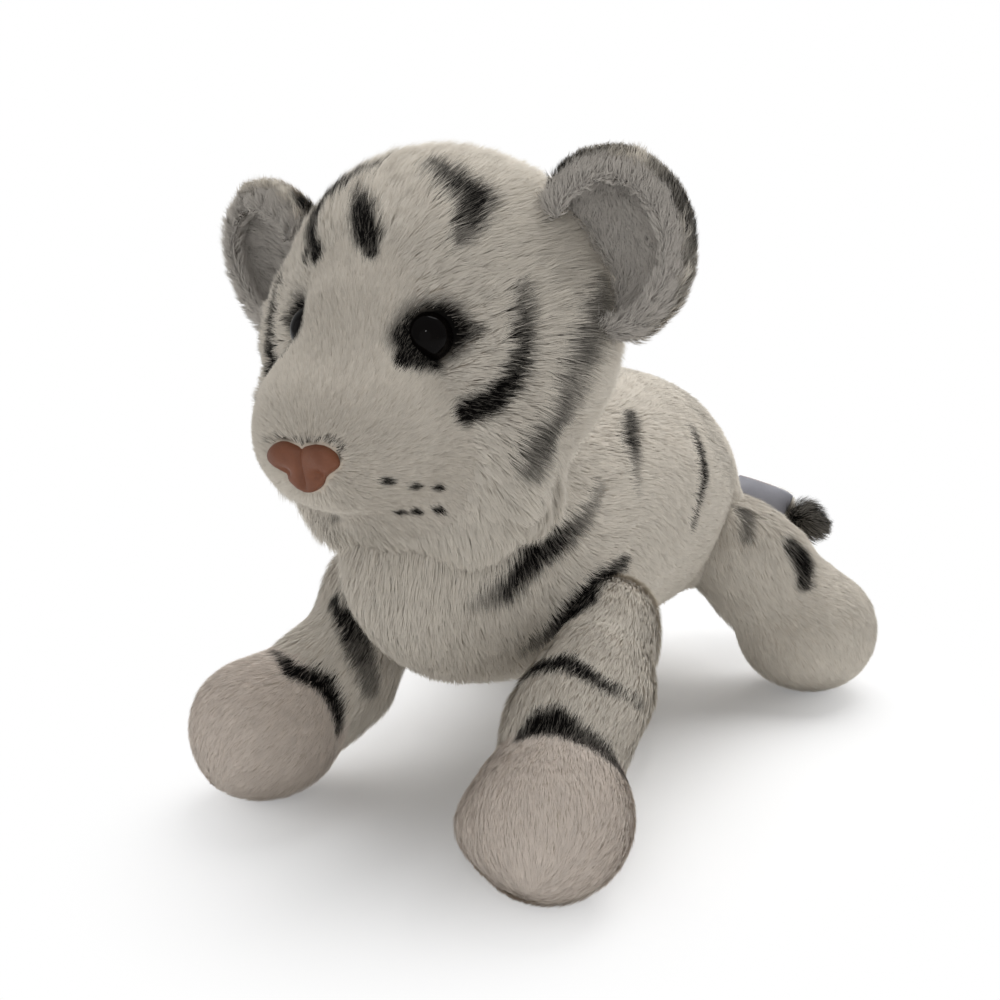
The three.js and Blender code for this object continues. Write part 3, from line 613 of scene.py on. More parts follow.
# %% Routes of the stripes on the body and the limbs
NECK_STRIPE = [((598, 485), 2, 0.45), ((581, 520), 3.1, 0.7), ((557, 541), 4.3, 0.95),
               ((531, 556), 4.7, 1), ((507, 585), 4.3, 0.95), ((488, 594), 3.5, 0.6),
               ((469, 600), 2.3, 0.35)]
SHOULDER_STRIPE = [((622, 561), 2.7, 0.85), ((604, 576), 3.5, 0.95), ((587, 599), 3.9, 1),
                   ((569, 620), 3.9, 1), ((551, 632), 3.3, 0.85), ((522, 646), 2.3, 0.5)]
SHOULDER_TOP = [((628, 418), 3.1, 0.85), ((628, 445), 3.9, 0.9), ((632, 470), 2.3, 0.6),
                ((634, 494), 1.6, 0.3)]
FLANK_STRIPE = [((688, 428), 1.7, 0.8), ((697, 452), 3.1, 0.95), ((700, 475), 3.4, 1),
                ((696, 499), 2.5, 0.9), ((688, 527), 1.7, 0.7)]
# Painted shade: a faint grey where the far side of the back lies in shadow, not a stripe.
BACK_PAINTED_SHADE = [((664, 386), 4, 0.12), ((686, 398), 8, 0.15), ((704, 424), 9, 0.15), ((716, 452), 9, 0.15),
               ((727, 474), 7, 0.15)]
LEFT_LEG_ARC = [((519, 681), 1.7, 0.8), ((537, 670), 2.5, 1), ((566, 664), 3.3, 1), ((584, 673), 2.8, 1),
                ((604, 687), 2.2, 0.9), ((640, 705), 1.6, 0.8)]
LEFT_WRIST = [((522, 737), 2.3, 0.9), ((540, 724), 4.3, 1), ((556, 722), 4.7, 1), ((578, 735), 3.5, 0.9),
              ((608, 756), 3, 0.85), ((630, 784), 1.7, 0.8)]
RIGHT_LEG_ARC = [((336, 603), 3, 0.95), ((350, 622), 4.4, 1), ((359, 648), 5, 0.85),
                 ((370, 688), 3.6, 0.6)]
RIGHT_WRIST = [((268, 645), 1.4, 0.8), ((292, 672), 3.1, 1), ((322, 682), 4.1, 1), ((334, 702), 3.3, 1),
               ((338, 730), 2, 0.9)]
THIGH_SPOT_FRONT = [((745, 514), 3.6, 0.75), ((747, 538), 2.7, 0.6)]
THIGH_SPOT_BACK = [((791, 547), 4, 0.9), ((801, 561), 5.4, 1), ((804, 582), 3.8, 0.9)]
LEFT_EAR_RIM = [((534, 205), 4.6, 1), ((547, 191), 4.6, 1), ((562, 179), 4.4, 1), ((577, 168), 4, 0.85),
                ((600, 152), 3.5, 0.6), ((626, 149), 3, 0.45)]
LEFT_EAR_BACK_RIM = [((655, 160), 3, 0.5), ((676, 175), 3.5, 0.75), ((689, 203), 3.5, 0.85),
                     ((694, 233), 3.5, 0.8), ((686, 256), 3, 0.6)]
LEFT_EAR_LOW_RIM = [((690, 262), 2, 0.5), ((680, 290), 2, 0.55), ((662, 312), 2, 0.6),
                    ((640, 334), 2, 0.55)]

# %% Casting the routes onto the skins
TRUNK_SKINS = ("body", "head", "foreleg_left", "foreleg_right", "hindleg_left")
STEPS_INWARDS = (0.05, 0.1, 0.15, 0.2, 0.3)
Route = namedtuple("Route", "points half_widths black marks")  # marks are the skins that it colours
lines = []


def cast_route(route, names, marks, mirrored, towards=None):
    """A route of pixels as a line on the toy, and its mirror image where the toy has one.

    A pixel that just misses the skin is moved, step by step, towards the middle of the piece."""
    stops = []
    for pixel, half_width, black in route:
        place = seen_point(pixel, names)
        for share in STEPS_INWARDS if towards else ():
            if place is None:
                place = seen_point([a + (b - a) * share for a, b in zip(pixel, towards)], names)
        if place is not None:
            stops.append((place, half_width * MM, black))
    if not stops:
        print("a route misses the toy at", route[0][0])
        return
    line = Route(*(np.array(column) for column in zip(*stops)), marks)
    lines.append(line)
    if mirrored:
        far_marks = tuple(name.replace("left", "right") for name in marks)
        lines.append(line._replace(points=line.points * np.array((-1, 1, 1)), marks=far_marks))


def dots(pixels, run, half_widths, black, mirrored):
    """Short marks on the head, each from a pixel along the same run."""
    for x, y in pixels:
        ends = ((x, y), (x + run[0], y + run[1]))
        cast_route(list(zip(ends, half_widths, black)), ("head",), ("head",), mirrored)


BACK_MIDDLE, LEFT_EAR_MIDDLE = (680, 490), (620, 240)
LEFT_PAW_MIDDLE, RIGHT_PAW_MIDDLE = (575, 740), (320, 720)
WHISKER_RUN, MOUTH_RUN = (6, 2), (8, -1)
# Routes, the skins that they are seen on, those that they mark, whether mirrored, and the piece's middle.
CASTS = (
    ((EYE_PATCH, EYE_CORNER, CHEEK_FRONT, CHEEK_BACK, BROW_BAND), ("head",), ("head",), True, None),
    ((BROW_SPINDLE, BROW_PAIR, BROW_PAIR_TAIL, NOSE_EDGE), ("head",), ("head",), False, None),
    ((NECK_STRIPE, SHOULDER_STRIPE, SHOULDER_TOP, FLANK_STRIPE), TRUNK_SKINS,
     ("body", "head", "foreleg_left"), True, None),
    # the grey of the back is painted shade, not a stripe
    ((BACK_PAINTED_SHADE,), ("body",), ("body",), False, BACK_MIDDLE),
    ((LEFT_LEG_ARC, LEFT_WRIST), ("foreleg_left",), ("foreleg_left",), False, LEFT_PAW_MIDDLE),
    ((RIGHT_LEG_ARC, RIGHT_WRIST), ("foreleg_right",), ("foreleg_right",), False, RIGHT_PAW_MIDDLE),
    ((THIGH_SPOT_FRONT, THIGH_SPOT_BACK), TRUNK_SKINS, ("body", "hindleg_left"), True, None),
    ((LEFT_EAR_RIM, LEFT_EAR_BACK_RIM, LEFT_EAR_LOW_RIM), ("ear_left", "ear_lining_left"), ("ear_left",),
     True, LEFT_EAR_MIDDLE))
for routes, names, marks, mirrored, towards in CASTS:
    for route in routes:
        cast_route(route, names, marks, mirrored, towards)
dots(WHISKER_DOTS, WHISKER_RUN, (1.5, 1.2), (1, 1), True)
dots(MOUTH_MARKS, MOUTH_RUN, (1.4, 1.1), (0.6, 0.5), False)
print(len(lines), "lines lie on the skins")

# %% Marks that the picture doesn't show, and painted shade along the spine
OUTSIDE = 0.2  # how far out a line starts that is cast inwards, in metres
# The grey along the spine is painted shade: the far side of the back lies in shadow.
SPINE_AXIS_HEIGHT, SPINE_HALF, SPINE_PAINTED_SHADE = 78 * MM, 11 * MM, 0.15
NAPE_AXIS_Y = pivots["head_nod"].y - 14 * MM
NAPE_BARS = ((190, 12, 52), (172, 16, 64), (150, 20, 60))  # height in mm, and degrees from the back
NAPE_HALF, NAPE_BLACK = 4.2 * MM, 0.95


def cast_inwards(name, axis_place, out):
    """Where a line from outside towards this place first meets the skin."""
    return np.array(trees[name].ray_cast(Vector(axis_place) + out * OUTSIDE, -out)[0])


straight_up = Vector((0, 0, 1))
spine = np.array([cast_inwards("body", (0, y, SPINE_AXIS_HEIGHT), straight_up)
                  for y in np.linspace(-60 * MM, 96 * MM, 14)])
lines.append(Route(spine, np.full(len(spine), SPINE_HALF), np.full(len(spine), SPINE_PAINTED_SHADE), ("body",)))

swell = np.sin(np.linspace(0.3, math.pi - 0.3, 7))
for height, start, end in NAPE_BARS:
    for sign in (-1, 1):
        turns = np.radians(sign * np.linspace(start, end, len(swell)))
        ways = [Vector((math.sin(turn), math.cos(turn), 0)) for turn in turns]
        bar = [cast_inwards("head", (0, NAPE_AXIS_Y, height * MM), way) for way in ways]
        lines.append(Route(np.array(bar), NAPE_HALF * (0.4 + 0.6 * swell), NAPE_BLACK * swell, ("head",)))
print(len(lines), "lines with the bars of the nape and the grey of the spine")

# %% How black the pile is at a point, with the painted shade of the back
STRIPE_EDGE = (0.62, 1.4)  # where a stripe fades, in shares of its half width


def stripes_and_painted_shade(points, skin):
    """From 0, white, to 1, black, at each point of a skin, with the back's painted shade as faint grey."""
    result = np.zeros(len(points))
    for line in (line for line in lines if skin in line.marks):
        reach = line.half_widths.max() * 1.5
        within = (points > line.points.min(0) - reach) & (points < line.points.max(0) + reach)
        near = np.flatnonzero(within.all(1))
        if not len(near):
            continue
        if len(line.points) > 1:
            (starts, ends), (w0, w1), (b0, b1) = ((of[:-1], of[1:]) for of in line[:3])
        else:
            starts, ends, w0, w1 = line.points, line.points + 1e-7, line.half_widths, line.half_widths
            b0 = b1 = line.black
        spans = ends - starts
        offset = points[near][:, None, :] - starts[None]
        along = np.clip((offset * spans).sum(2) / (spans ** 2).sum(1), 0, 1)
        distance = np.linalg.norm(offset - along[:, :, None] * spans, axis=2)
        half_width = w0 + (w1 - w0) * along
        strength = (b0 + (b1 - b0) * along) * (1 - smooth_step(*STRIPE_EDGE, distance / half_width))
        result[near] = np.maximum(result[near], strength.max(1))
    return result


print("blackness runs from 0 to 1")

# %% [markdown]
# ## How the pile lies
# Pile is combed: it runs back from the nose over the head, back and down over the body, and towards the
# toes on the limbs. Each skin has a rule for the way its fibres lie and a rule for their length. The head's
# fibres grow from 3 mm at the bridge of the nose to 12 mm at the cheeks and the crown.

# %% Combing rules
head_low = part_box("head")[0]
WHORL = np.array((0, head_low.y + 1 * MM, head_low.z + 36 * MM))  # where the head's pile starts from
DOWN_CHEST, OVER_BACK = np.array((0, 0.15, -1)), np.array((0, 1, -0.45))
RUFF_HANG = np.array((0, -8 * MM, -45 * MM))


def from_point(source, droop=0.0):
    """Pile that runs away from one point, and droops a little."""
    return lambda points: points - np.array(source) + np.array((0, 0, -droop))


def along_way(way):
    return lambda points: np.tile(np.array(way, float), (len(points), 1))


def over_body(points):
    """Down over the chest, and back and down behind it."""
    back = smooth_step(-95 * MM, -40 * MM, points[:, 1])[:, None]
    return (1 - back) * DOWN_CHEST + back * OVER_BACK


def over_head(points):
    """Away from the brow over the whole head, and down where the ruff hangs over the neck."""
    ruff = 1 - smooth_step(106, 132, points[:, 2] / MM)
    return from_point(WHORL, 6 * MM)(points) + ruff[:, None] * RUFF_HANG


def waves(points):
    """Slow swirls in the way that the pile lies, in radians, as stroking leaves them."""
    x, y, z = (points / (9 * MM)).T
    swirl = np.sin(x + 1.3 * np.sin(0.7 * z)) + np.sin(0.8 * y + 1.1 * np.sin(0.9 * x))
    return 0.16 * (swirl + np.sin(1.1 * z - 0.6 * y))


print("the head's pile starts at", WHORL.round(3))

# %% Rules of length
FACE_LENGTH, BODY_LENGTH, CHEST_LONGER, RUFF_LENGTH = 3.1, 6.2, 3, 10.5


def head_length(points):
    """Short on the face, long on the crown and the ruff, and short again round the eyes."""
    long = 5.5 + 6.5 * smooth_step(34, 80, np.linalg.norm(points - WHORL, axis=1) / MM)
    long = np.maximum(long, RUFF_LENGTH * (1 - smooth_step(104, 128, points[:, 2] / MM)))
    from_eye = np.min([np.linalg.norm(points - np.array(dome), axis=1) for _, dome in eyes.values()], axis=0)
    near_eye = 0.4 + 0.6 * smooth_step(7, 16, from_eye / MM)
    short = face_share(points)
    return (FACE_LENGTH * short + long * (1 - short)) * near_eye * MM


def body_length(points):
    chest = 1 - smooth_step(-95 * MM, -75 * MM, points[:, 1])
    chest *= smooth_step(70 * MM, 95 * MM, points[:, 2])
    return (BODY_LENGTH + CHEST_LONGER * chest) * MM


def even_length(length):
    return lambda points: np.full(len(points), length)


print("the ruff is", RUFF_LENGTH, "mm long")

# %% [markdown]
# ## Planting the pile
# Each fibre is a narrow ribbon of two or three rungs that starts on the skin, rises and lies over along the
# combed way. Fibres of one tuft lean together, which gives plush its soft locks. All of this is worked out
# on whole arrays at once, because there are several hundred thousand fibres and an operator for each would
# take hours. A fibre's own UV map says how black it is and how light its shade, so one material colours
# them all.

# %% Roots on a skin
BURIED_BY = 2.2 * MM  # how deep under another skin pile is left out
BELLY_HEIGHT, BELLY_BARE = 60 * MM, 0.6  # below this, part of the pile that faces the floor is left out
rng = np.random.default_rng(20)


def plant(name, per_mm2, zone=None):
    """Roots spread over a skin where no neighbour buries them, and in the zone alone if there is one."""
    mesh = skins[name].data
    points, normals = places(skins[name]), surface_normals(skins[name])
    mesh.calc_loop_triangles()
    corners = np.empty(len(mesh.loop_triangles) * 3, np.int32)
    mesh.loop_triangles.foreach_get("vertices", corners)
    corners = corners.reshape(-1, 3)
    buried = np.full(len(points), -1.0)
    for other, tree in trees.items():
        low, high = boxes[other]
        rows = np.flatnonzero(((points > low) & (points < high)).all(1)) if other != name else ()
        if len(rows):
            buried[rows] = np.maximum(buried[rows], depth_under(points[rows], tree) - BURIED_BY)
    first, second, third = (points[corners[:, k]] for k in range(3))
    area = np.linalg.norm(np.cross(second - first, third - first), axis=1) / 2
    count = int(area.sum() / MM ** 2 * per_mm2)
    chosen = rng.choice(len(corners), count, p=area / area.sum())
    share = rng.random((count, 2))
    share = np.where(share.sum(1, keepdims=True) > 1, 1 - share, share)
    weights = np.column_stack((1 - share.sum(1), share))
    use = corners[chosen]
    root = (points[use] * weights[:, :, None]).sum(1)
    normal = (normals[use] * weights[:, :, None]).sum(1)
    normal /= np.linalg.norm(normal, axis=1, keepdims=True)
    keep = (buried[use] * weights).sum(1) < 0
    facing_down = smooth_step(0.3, 0.9, -normal[:, 2]) * (root[:, 2] < BELLY_HEIGHT)
    keep &= rng.random(count) < 1 - BELLY_BARE * facing_down
    if zone:
        keep &= zone(root)
    return root[keep], normal[keep]


def clear_of_hard(root, margin):
    """True for roots that don't lie in an eye or the nose, or nearer to them than the margin."""
    free = np.ones(len(root), bool)
    for tree, centre in hard:
        near = np.flatnonzero(np.linalg.norm(root - centre, axis=1) < 20 * MM)
        free[near[depth_under(root[near], tree) > -margin]] = False
    return free


print("roots are spread at random with a fixed seed")

# %% The line of each fibre
TILT_STRAY, TIP_PULL = 0.06, 1.5  # how a fibre's rise strays, and how a tuft's pull grows to the tips


def unit(vectors):
    return vectors / np.maximum(np.linalg.norm(vectors, axis=1, keepdims=True), 1e-9)


def fibre_lines(root, normal, comb, length, rungs, rise, lie, stray):
    """The line of each fibre: it leaves the skin at the rise angle and ends lying at the lie angle."""
    way = comb(root)
    way = unit(way - (way * normal).sum(1, keepdims=True) * normal)
    turn_by = (rng.normal(0, stray, len(root)) + waves(root))[:, None]
    way = way * np.cos(turn_by) + np.cross(normal, way) * np.sin(turn_by)
    tilt = rng.normal(0, TILT_STRAY, len(root))[:, None]
    line = [root]
    step = (length / (rungs - 1))[:, None]
    for number in range(rungs - 1):
        angle = np.radians(rise + (lie - rise) * (number / max(rungs - 2, 1))) + tilt
        line.append(line[-1] + step * (normal * np.sin(angle) + way * np.cos(angle)))
    return np.stack(line, 1)


def gather(line, per_mm2, tuft, pull):
    """Draws the fibres of a tuft towards the one in its middle, most at their tips."""
    count = max(8, int(len(line) / (per_mm2 * (tuft / MM) ** 2)))
    heads = rng.choice(len(line), min(count, len(line)), replace=False)
    tree = KDTree(len(heads))
    for number, row in enumerate(heads):
        tree.insert(line[row, 0], number)
    tree.balance()
    lock = np.array([tree.find(point)[1] for point in line[:, 0]])
    nearest = heads[lock]
    rungs = line.shape[1]
    for number in range(1, rungs):
        share = pull * (number / (rungs - 1)) ** TIP_PULL
        line[:, number] += (line[nearest, number] - line[:, number]) * share
    return line, lock


print("a tuft's fibres lean together")

# %% Ribbons along the lines
GROUND_GAP = 0.25 * MM
ROLL_STRAY, WIDTH_STRAY, TIP_WIDTH = 0.25, 0.25, 0.6


def ribbons(line, normal, width):
    """The vertices of one ribbon for each fibre, the way that it runs and the way that it faces."""
    count, rungs = line.shape[:2]
    line[:, :, 2] = np.maximum(line[:, :, 2], GROUND_GAP)
    run = unit(line[:, -1] - line[:, 0])
    across = unit(np.cross(run, normal))
    roll = rng.uniform(-ROLL_STRAY, ROLL_STRAY, count)[:, None]
    across = across * np.cos(roll) + np.cross(run, across) * np.sin(roll)
    half = (width * rng.uniform(1 - WIDTH_STRAY, 1 + WIDTH_STRAY, count))[:, None] / 2
    sides = []
    for number, taper in enumerate(np.linspace(1, TIP_WIDTH, rungs - 1)):
        sides += [line[:, number] - across * half * taper, line[:, number] + across * half * taper]
    return np.stack(sides + [line[:, -1]], 1), run, unit(np.cross(across, run))


def ribbon_faces(rungs):
    """Two triangles between a rung and the next, and one at the tip."""
    faces, tip = [], 2 * (rungs - 1)
    for a in range(0, tip - 2, 2):
        faces += [(a, a + 1, a + 3), (a, a + 3, a + 2)]
    return np.array(faces + [(tip - 2, tip - 1, tip)])


print("a fibre has", len(ribbon_faces(2)), "or", len(ribbon_faces(3)), "triangles")

# %% The map that colours the fibres
LEVELS = 8  # steps from white to black
MAP_HALF = 0.004  # half the width of a fibre on its map
LEVEL_STRAY, SHADE_MIDDLE, SHADE_STRAY, LOCK_STRAY = 0.6, 0.5, 0.13, 0.15


def fibre_map(black, lock, rungs):
    """Where each ribbon's vertices lie on the map: its black and its shade across, and root to tip along."""
    count, last = len(black), 2 * (rungs - 1)
    level = np.round(black * (LEVELS - 1) + rng.normal(0, LEVEL_STRAY, count) * (black > 0.02))
    shade = rng.normal(SHADE_MIDDLE, SHADE_STRAY, count) + rng.normal(0, LOCK_STRAY, lock.max() + 1)[lock]
    across = (np.clip(level, 0, LEVELS - 1) + np.clip(shade, 0.1, 0.9)) / LEVELS
    across = np.repeat(across[:, None], last + 1, 1)
    across[:, 0:last:2] -= MAP_HALF
    across[:, 1:last:2] += MAP_HALF
    along = np.append(np.repeat(np.linspace(0.02, 0.85, rungs - 1), 2), 0.98)
    return np.stack((across, np.tile(along, (count, 1))), 2)


print("the map has", LEVELS, "steps from white to black")

# %% Fibres as meshes
MOST_TRIANGLES = 190000  # in one piece
SHINE_UP, SHINE_FLAT, SHINE_RUN, SHINE_STRAY = 0.9, 0.1, 0.06, 0.1  # shares of the ways that a fibre shines


def fibre_mesh(name, verts, faces, on_map, facing):
    """Ribbons as one mesh, written array by array."""
    count, per = verts.shape[:2]
    corner = (np.arange(count)[:, None, None] * per + faces[None]).ravel()
    mesh = bpy.data.meshes.new(name)
    mesh.vertices.add(count * per)
    mesh.vertices.foreach_set("co", verts.astype(np.float32).ravel())
    mesh.loops.add(len(corner))
    mesh.loops.foreach_set("vertex_index", corner.astype(np.int32))
    mesh.polygons.add(len(corner) // 3)
    mesh.polygons.foreach_set("loop_start", np.arange(0, len(corner), 3, dtype=np.int32))
    layer = mesh.uv_layers.new(name="OFBake")
    layer.data.foreach_set("uv", on_map.reshape(-1, 2)[corner].astype(np.float32).ravel())
    mesh.update(calc_edges=True)
    normals = mesh.attributes.new("custom_normal", "FLOAT_VECTOR", "POINT")
    normals.data.foreach_set("vector", np.repeat(facing, per, 0).astype(np.float32).ravel())
    return mesh


def fibre_pieces(name, line, lock, normal, width, black, body):
    """The ribbons of one pelt, in as many pieces as their number asks for. Each lock shines its own way."""
    verts, run, flat = ribbons(line, normal, width)
    faces = ribbon_faces(line.shape[1])
    on_map = fibre_map(black, lock, line.shape[1])
    stray = rng.normal(0, SHINE_STRAY, (lock.max() + 1, 3))[lock]
    facing = unit(SHINE_UP * normal + SHINE_FLAT * flat + SHINE_RUN * run + stray)
    chunks = math.ceil(len(line) / (MOST_TRIANGLES // len(faces)))
    made = []
    for chunk in range(chunks):
        rows = slice(chunk, None, chunks)
        mesh = fibre_mesh(name, verts[rows], faces, on_map[rows], facing[rows])
        piece = bpy.data.objects.new(f"{name}_{chunk + 1}" if chunks > 1 else name, mesh)
        bpy.context.scene.collection.objects.link(piece)
        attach(piece, body)
        made.append(piece)
    return made


print("no piece has more than", MOST_TRIANGLES, "triangles")

# %% What each skin's pile is like
TRUNK_LEAN = np.array((0, 0, -5 * MM))
EAR_ROOT_IN = 0.86  # how near the mid plane an ear's pile starts
tail_root = pivots["tail_swing"]
# Rise and lie are a fibre's angles at its root and its tip, and pull is how far a tuft is drawn together.
Pelt = namedtuple("Pelt", "skin per_mm2 comb length width rise lie stray tuft pull zone rungs slot",
                  defaults=(None, 3, "white_fur"))


def on_panel(points):
    return face_share(points) > 0.5


def off_panel(points):
    return face_share(points) <= 0.5


pile = {
    "head": Pelt("head", 5.6, over_head, head_length, 0.26 * MM, 40, 11, 0.17, 2.6 * MM, 0.38, off_panel),
    "muzzle": Pelt("head", 11, from_point(NOSE_MIDDLE, 3 * MM), head_length, 0.28 * MM, 24, 24, 0.2, 1.2 * MM,
                   0.1, on_panel, rungs=2),
    "body": Pelt("body", 3, over_body, body_length, 0.32 * MM, 26, 7, 0.16, 2.4 * MM, 0.3),
    "tail": Pelt("tail", 5, from_point(tail_root), even_length(6 * MM), 0.3 * MM, 24, 6, 0.2, 2 * MM, 0.25),
    "tail_tip": Pelt("tail_tip", 5, from_point(tail_root), even_length(6.5 * MM), 0.3 * MM, 42, 14, 0.2,
                     2 * MM, 0.25, slot="black_fur")}
for side in SIDES:
    ear_low, ear_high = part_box("ear_" + side)
    ear_x, ear_y = (ear_low.x + ear_high.x) / 2 * EAR_ROOT_IN, (ear_low.y + ear_high.y) / 2
    from_ear = from_point((ear_x, ear_y, ear_low.z))
    for limb, spec in LIMBS.items():
        name, paw = limb + side, spec["paw"] + side
        seam, toe, on_paw = np.array(seams[name]), middle(paw), paw_share(paw)
        pile[name] = Pelt(name, 3.8, along_way(toe - seam + TRUNK_LEAN), even_length(5.6 * MM), 0.3 * MM, 20,
                          5, 0.16, 2.2 * MM, 0.2, lambda points, on_paw=on_paw: on_paw(points) <= 0.5)
        pile[paw] = Pelt(name, 5.2, from_point(toe * 0.5 + seam * 0.5), even_length(4 * MM), 0.27 * MM, 18, 5,
                         0.18, 1.8 * MM, 0.12, lambda points, on_paw=on_paw: on_paw(points) > 0.5)
    for name, per_mm2, length, width, rise, lie, stray, tuft, pull, slot in (
            ("ear_", 5, 5.2, 0.28, 32, 9, 0.22, 1.8, 0.3, "white_fur"),
            ("ear_lining_", 6, 5.5, 0.26, 44, 18, 0.4, 2, 0.35, "ear_lining")):
        pile[name + side] = Pelt(name + side, per_mm2, from_ear, even_length(length * MM), width * MM, rise,
                                 lie, stray, tuft * MM, pull, slot=slot)
print(len(pile), "pelts")

# %% Planting it
FEATHER = 0.075  # how far a stripe's edge strays, for each metre of pile
TIP_BLACK = 0.84  # how black the tail's tip is
RUFF_RAGGED, BACK_FLATTER = 0.4, 0.4
EAR_FRONT = unit(np.array(((0.25, -1, 0.15),)))
pelts, total = {}, 0
for name, pelt in pile.items():
    root, normal = plant(pelt.skin, pelt.per_mm2, pelt.zone)
    if pelt.skin == "head":
        free = clear_of_hard(root, 0.5 * MM)
        root, normal = root[free], normal[free]
    long = pelt.length(root) * rng.uniform(0.8, 1.12, len(root))
    flatter = 1
    if name == "head":  # ragged at the ruff, and flatter at the back, where one looks against the pile
        in_ruff = 1 - smooth_step(108 * MM, 128 * MM, root[:, 2])
        long *= 1 - in_ruff * rng.uniform(0, RUFF_RAGGED, len(root))
        flatter = 1 - BACK_FLATTER * smooth_step(-92 * MM, -62 * MM, root[:, 1:2])
    line = fibre_lines(root, normal, pelt.comb, long, pelt.rungs, pelt.rise * flatter, pelt.lie * flatter,
                       pelt.stray)
    shown = root * 0.5 + line[:, -1] * 0.5 + rng.normal(0, FEATHER, root.shape) * long[:, None]
    black = np.full(len(root), TIP_BLACK) if name == "tail_tip" else stripes_and_painted_shade(shown, pelt.skin)
    line, lock = gather(line, pelt.per_mm2, pelt.tuft, pelt.pull)
    if pelt.slot == "ear_lining":
        sign = SIDES[name.split("_")[-1]]
        normal = unit(normal * 0.3 + EAR_FRONT * np.array((sign, 1, 1)) * 0.7)
    pelts[name] = fibre_pieces(name + "_pile", line, lock, normal, pelt.width, black,
                               frame["nodes"][name]["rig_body"])
    total += sum(len(piece.data.polygons) for piece in pelts[name])
    print(name, len(root), "fibres")
print("the pile has", total, "triangles")

# %% The same stripes, and the painted shade of the back, on the backing
for name, skin in skins.items():
    ink = skin.data.attributes.new("black", "FLOAT", "POINT")
    inked = np.ones(len(ink.data)) if name == "tail_tip" else stripes_and_painted_shade(places(skin), name)
    ink.data.foreach_set("value", inked.astype(np.float32))
print(len(skins), "skins carry their stripes")

# %% [markdown]
# ## The blank label
# A strip of satin is folded in two and sewn into the seam at the tail's root. It is left blank. It is made
# flat, at its cut size, and then laid in two layers over the side of the tail that the picture shows: each
# point is put on the strip's own plane and drawn half way to the curve of the tail, just above the pile.

# %% Where the label lies
LABEL_WIDTH, LABEL_LENGTH, LABEL_THICK = 13 * MM, 48 * MM, 0.22 * MM
LABEL_AT, LABEL_ALONG = (760, 499), (0.92, 0.22, -0.36)  # the pixel of its middle, and the way that it runs
LABEL_OVER, LABEL_HUG = 3.2 * MM, 0.5  # how far it stays over the tail's skin, and how closely it follows it
LAYER_GAP = 0.5 * MM
FOLD_ACROSS, FOLD_ALONG = (0.42, 0.47), (0.3, 0.36)  # where the folded edge shows, in shares of the strip
label_middle = Vector(seen_point(LABEL_AT, ["tail"]))
label_up = trees["tail"].find_nearest(label_middle)[1]
label_long = Vector(LABEL_ALONG)
label_long = (label_long - label_up * label_long.dot(label_up)).normalized()
label_cross = label_up.cross(label_long)
label_cross *= math.copysign(1, label_cross.z)
print("label's middle", [round(x / MM, 1) for x in label_middle], "mm, facing",
      [round(x, 2) for x in label_up])

# %% The label
bpy.ops.object.select_all(action="DESELECT")
bpy.ops.mesh.primitive_grid_add(x_subdivisions=13, y_subdivisions=64, size=1)
label = bpy.context.active_object
label.name = "label_strip"
flat_places = places(label)
half = LABEL_LENGTH / 2
laid = []
for x, y, _ in flat_places:
    across, run = x * LABEL_WIDTH, (y + 0.5) * LABEL_LENGTH
    layer = 0 if run < half else 1
    along = half / 2 - run if layer == 0 else run - half * 1.5
    over = label_middle + label_long * along + label_cross * across
    skin_place, skin_normal, _, _ = trees["tail"].find_nearest(over)
    hugging = skin_place + skin_normal * LABEL_OVER
    straight = over + label_up * LABEL_OVER
    laid.append(np.array(straight.lerp(hugging, LABEL_HUG) + label_up * LAYER_GAP * layer))
put_places(label, laid)
top_edge = smooth_step(*FOLD_ACROSS, flat_places[:, 0]) * (1 - smooth_step(*FOLD_ALONG, flat_places[:, 1]))
fold = label.data.attributes.new("fold", "FLOAT", "POINT")
fold.data.foreach_set("value", top_edge.astype(np.float32))
apply_modifier(label, "SMOOTH", factor=0.5, iterations=4)
apply_modifier(label, "SOLIDIFY", thickness=LABEL_THICK, offset=0)
shade_smooth(label)
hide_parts("blank_label")
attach(label, "tail")
print("the label is", LABEL_WIDTH / MM, "by", LABEL_LENGTH / MM, "mm when flat")

# %% [markdown]
# ## Finishes
# A material is written as sums. The class below wraps a shader socket, so that shade * 0.2 + 0.9 adds the
# Math nodes that work it out.


# %% Shader sums
class Signal:
    """A value on its way through a material. Sums on it add Math nodes."""

    def __init__(self, finish, socket):
        self.finish, self.socket = finish, socket

    def math(self, operation, *values):
        return self.finish.node("ShaderNodeMath", {"operation": operation}, dict(enumerate(values)))

    def __add__(self, other):
        return self.math("ADD", self, other)

    def __mul__(self, other):
        return self.math("MULTIPLY", self, other)

    __radd__, __rmul__ = __add__, __mul__


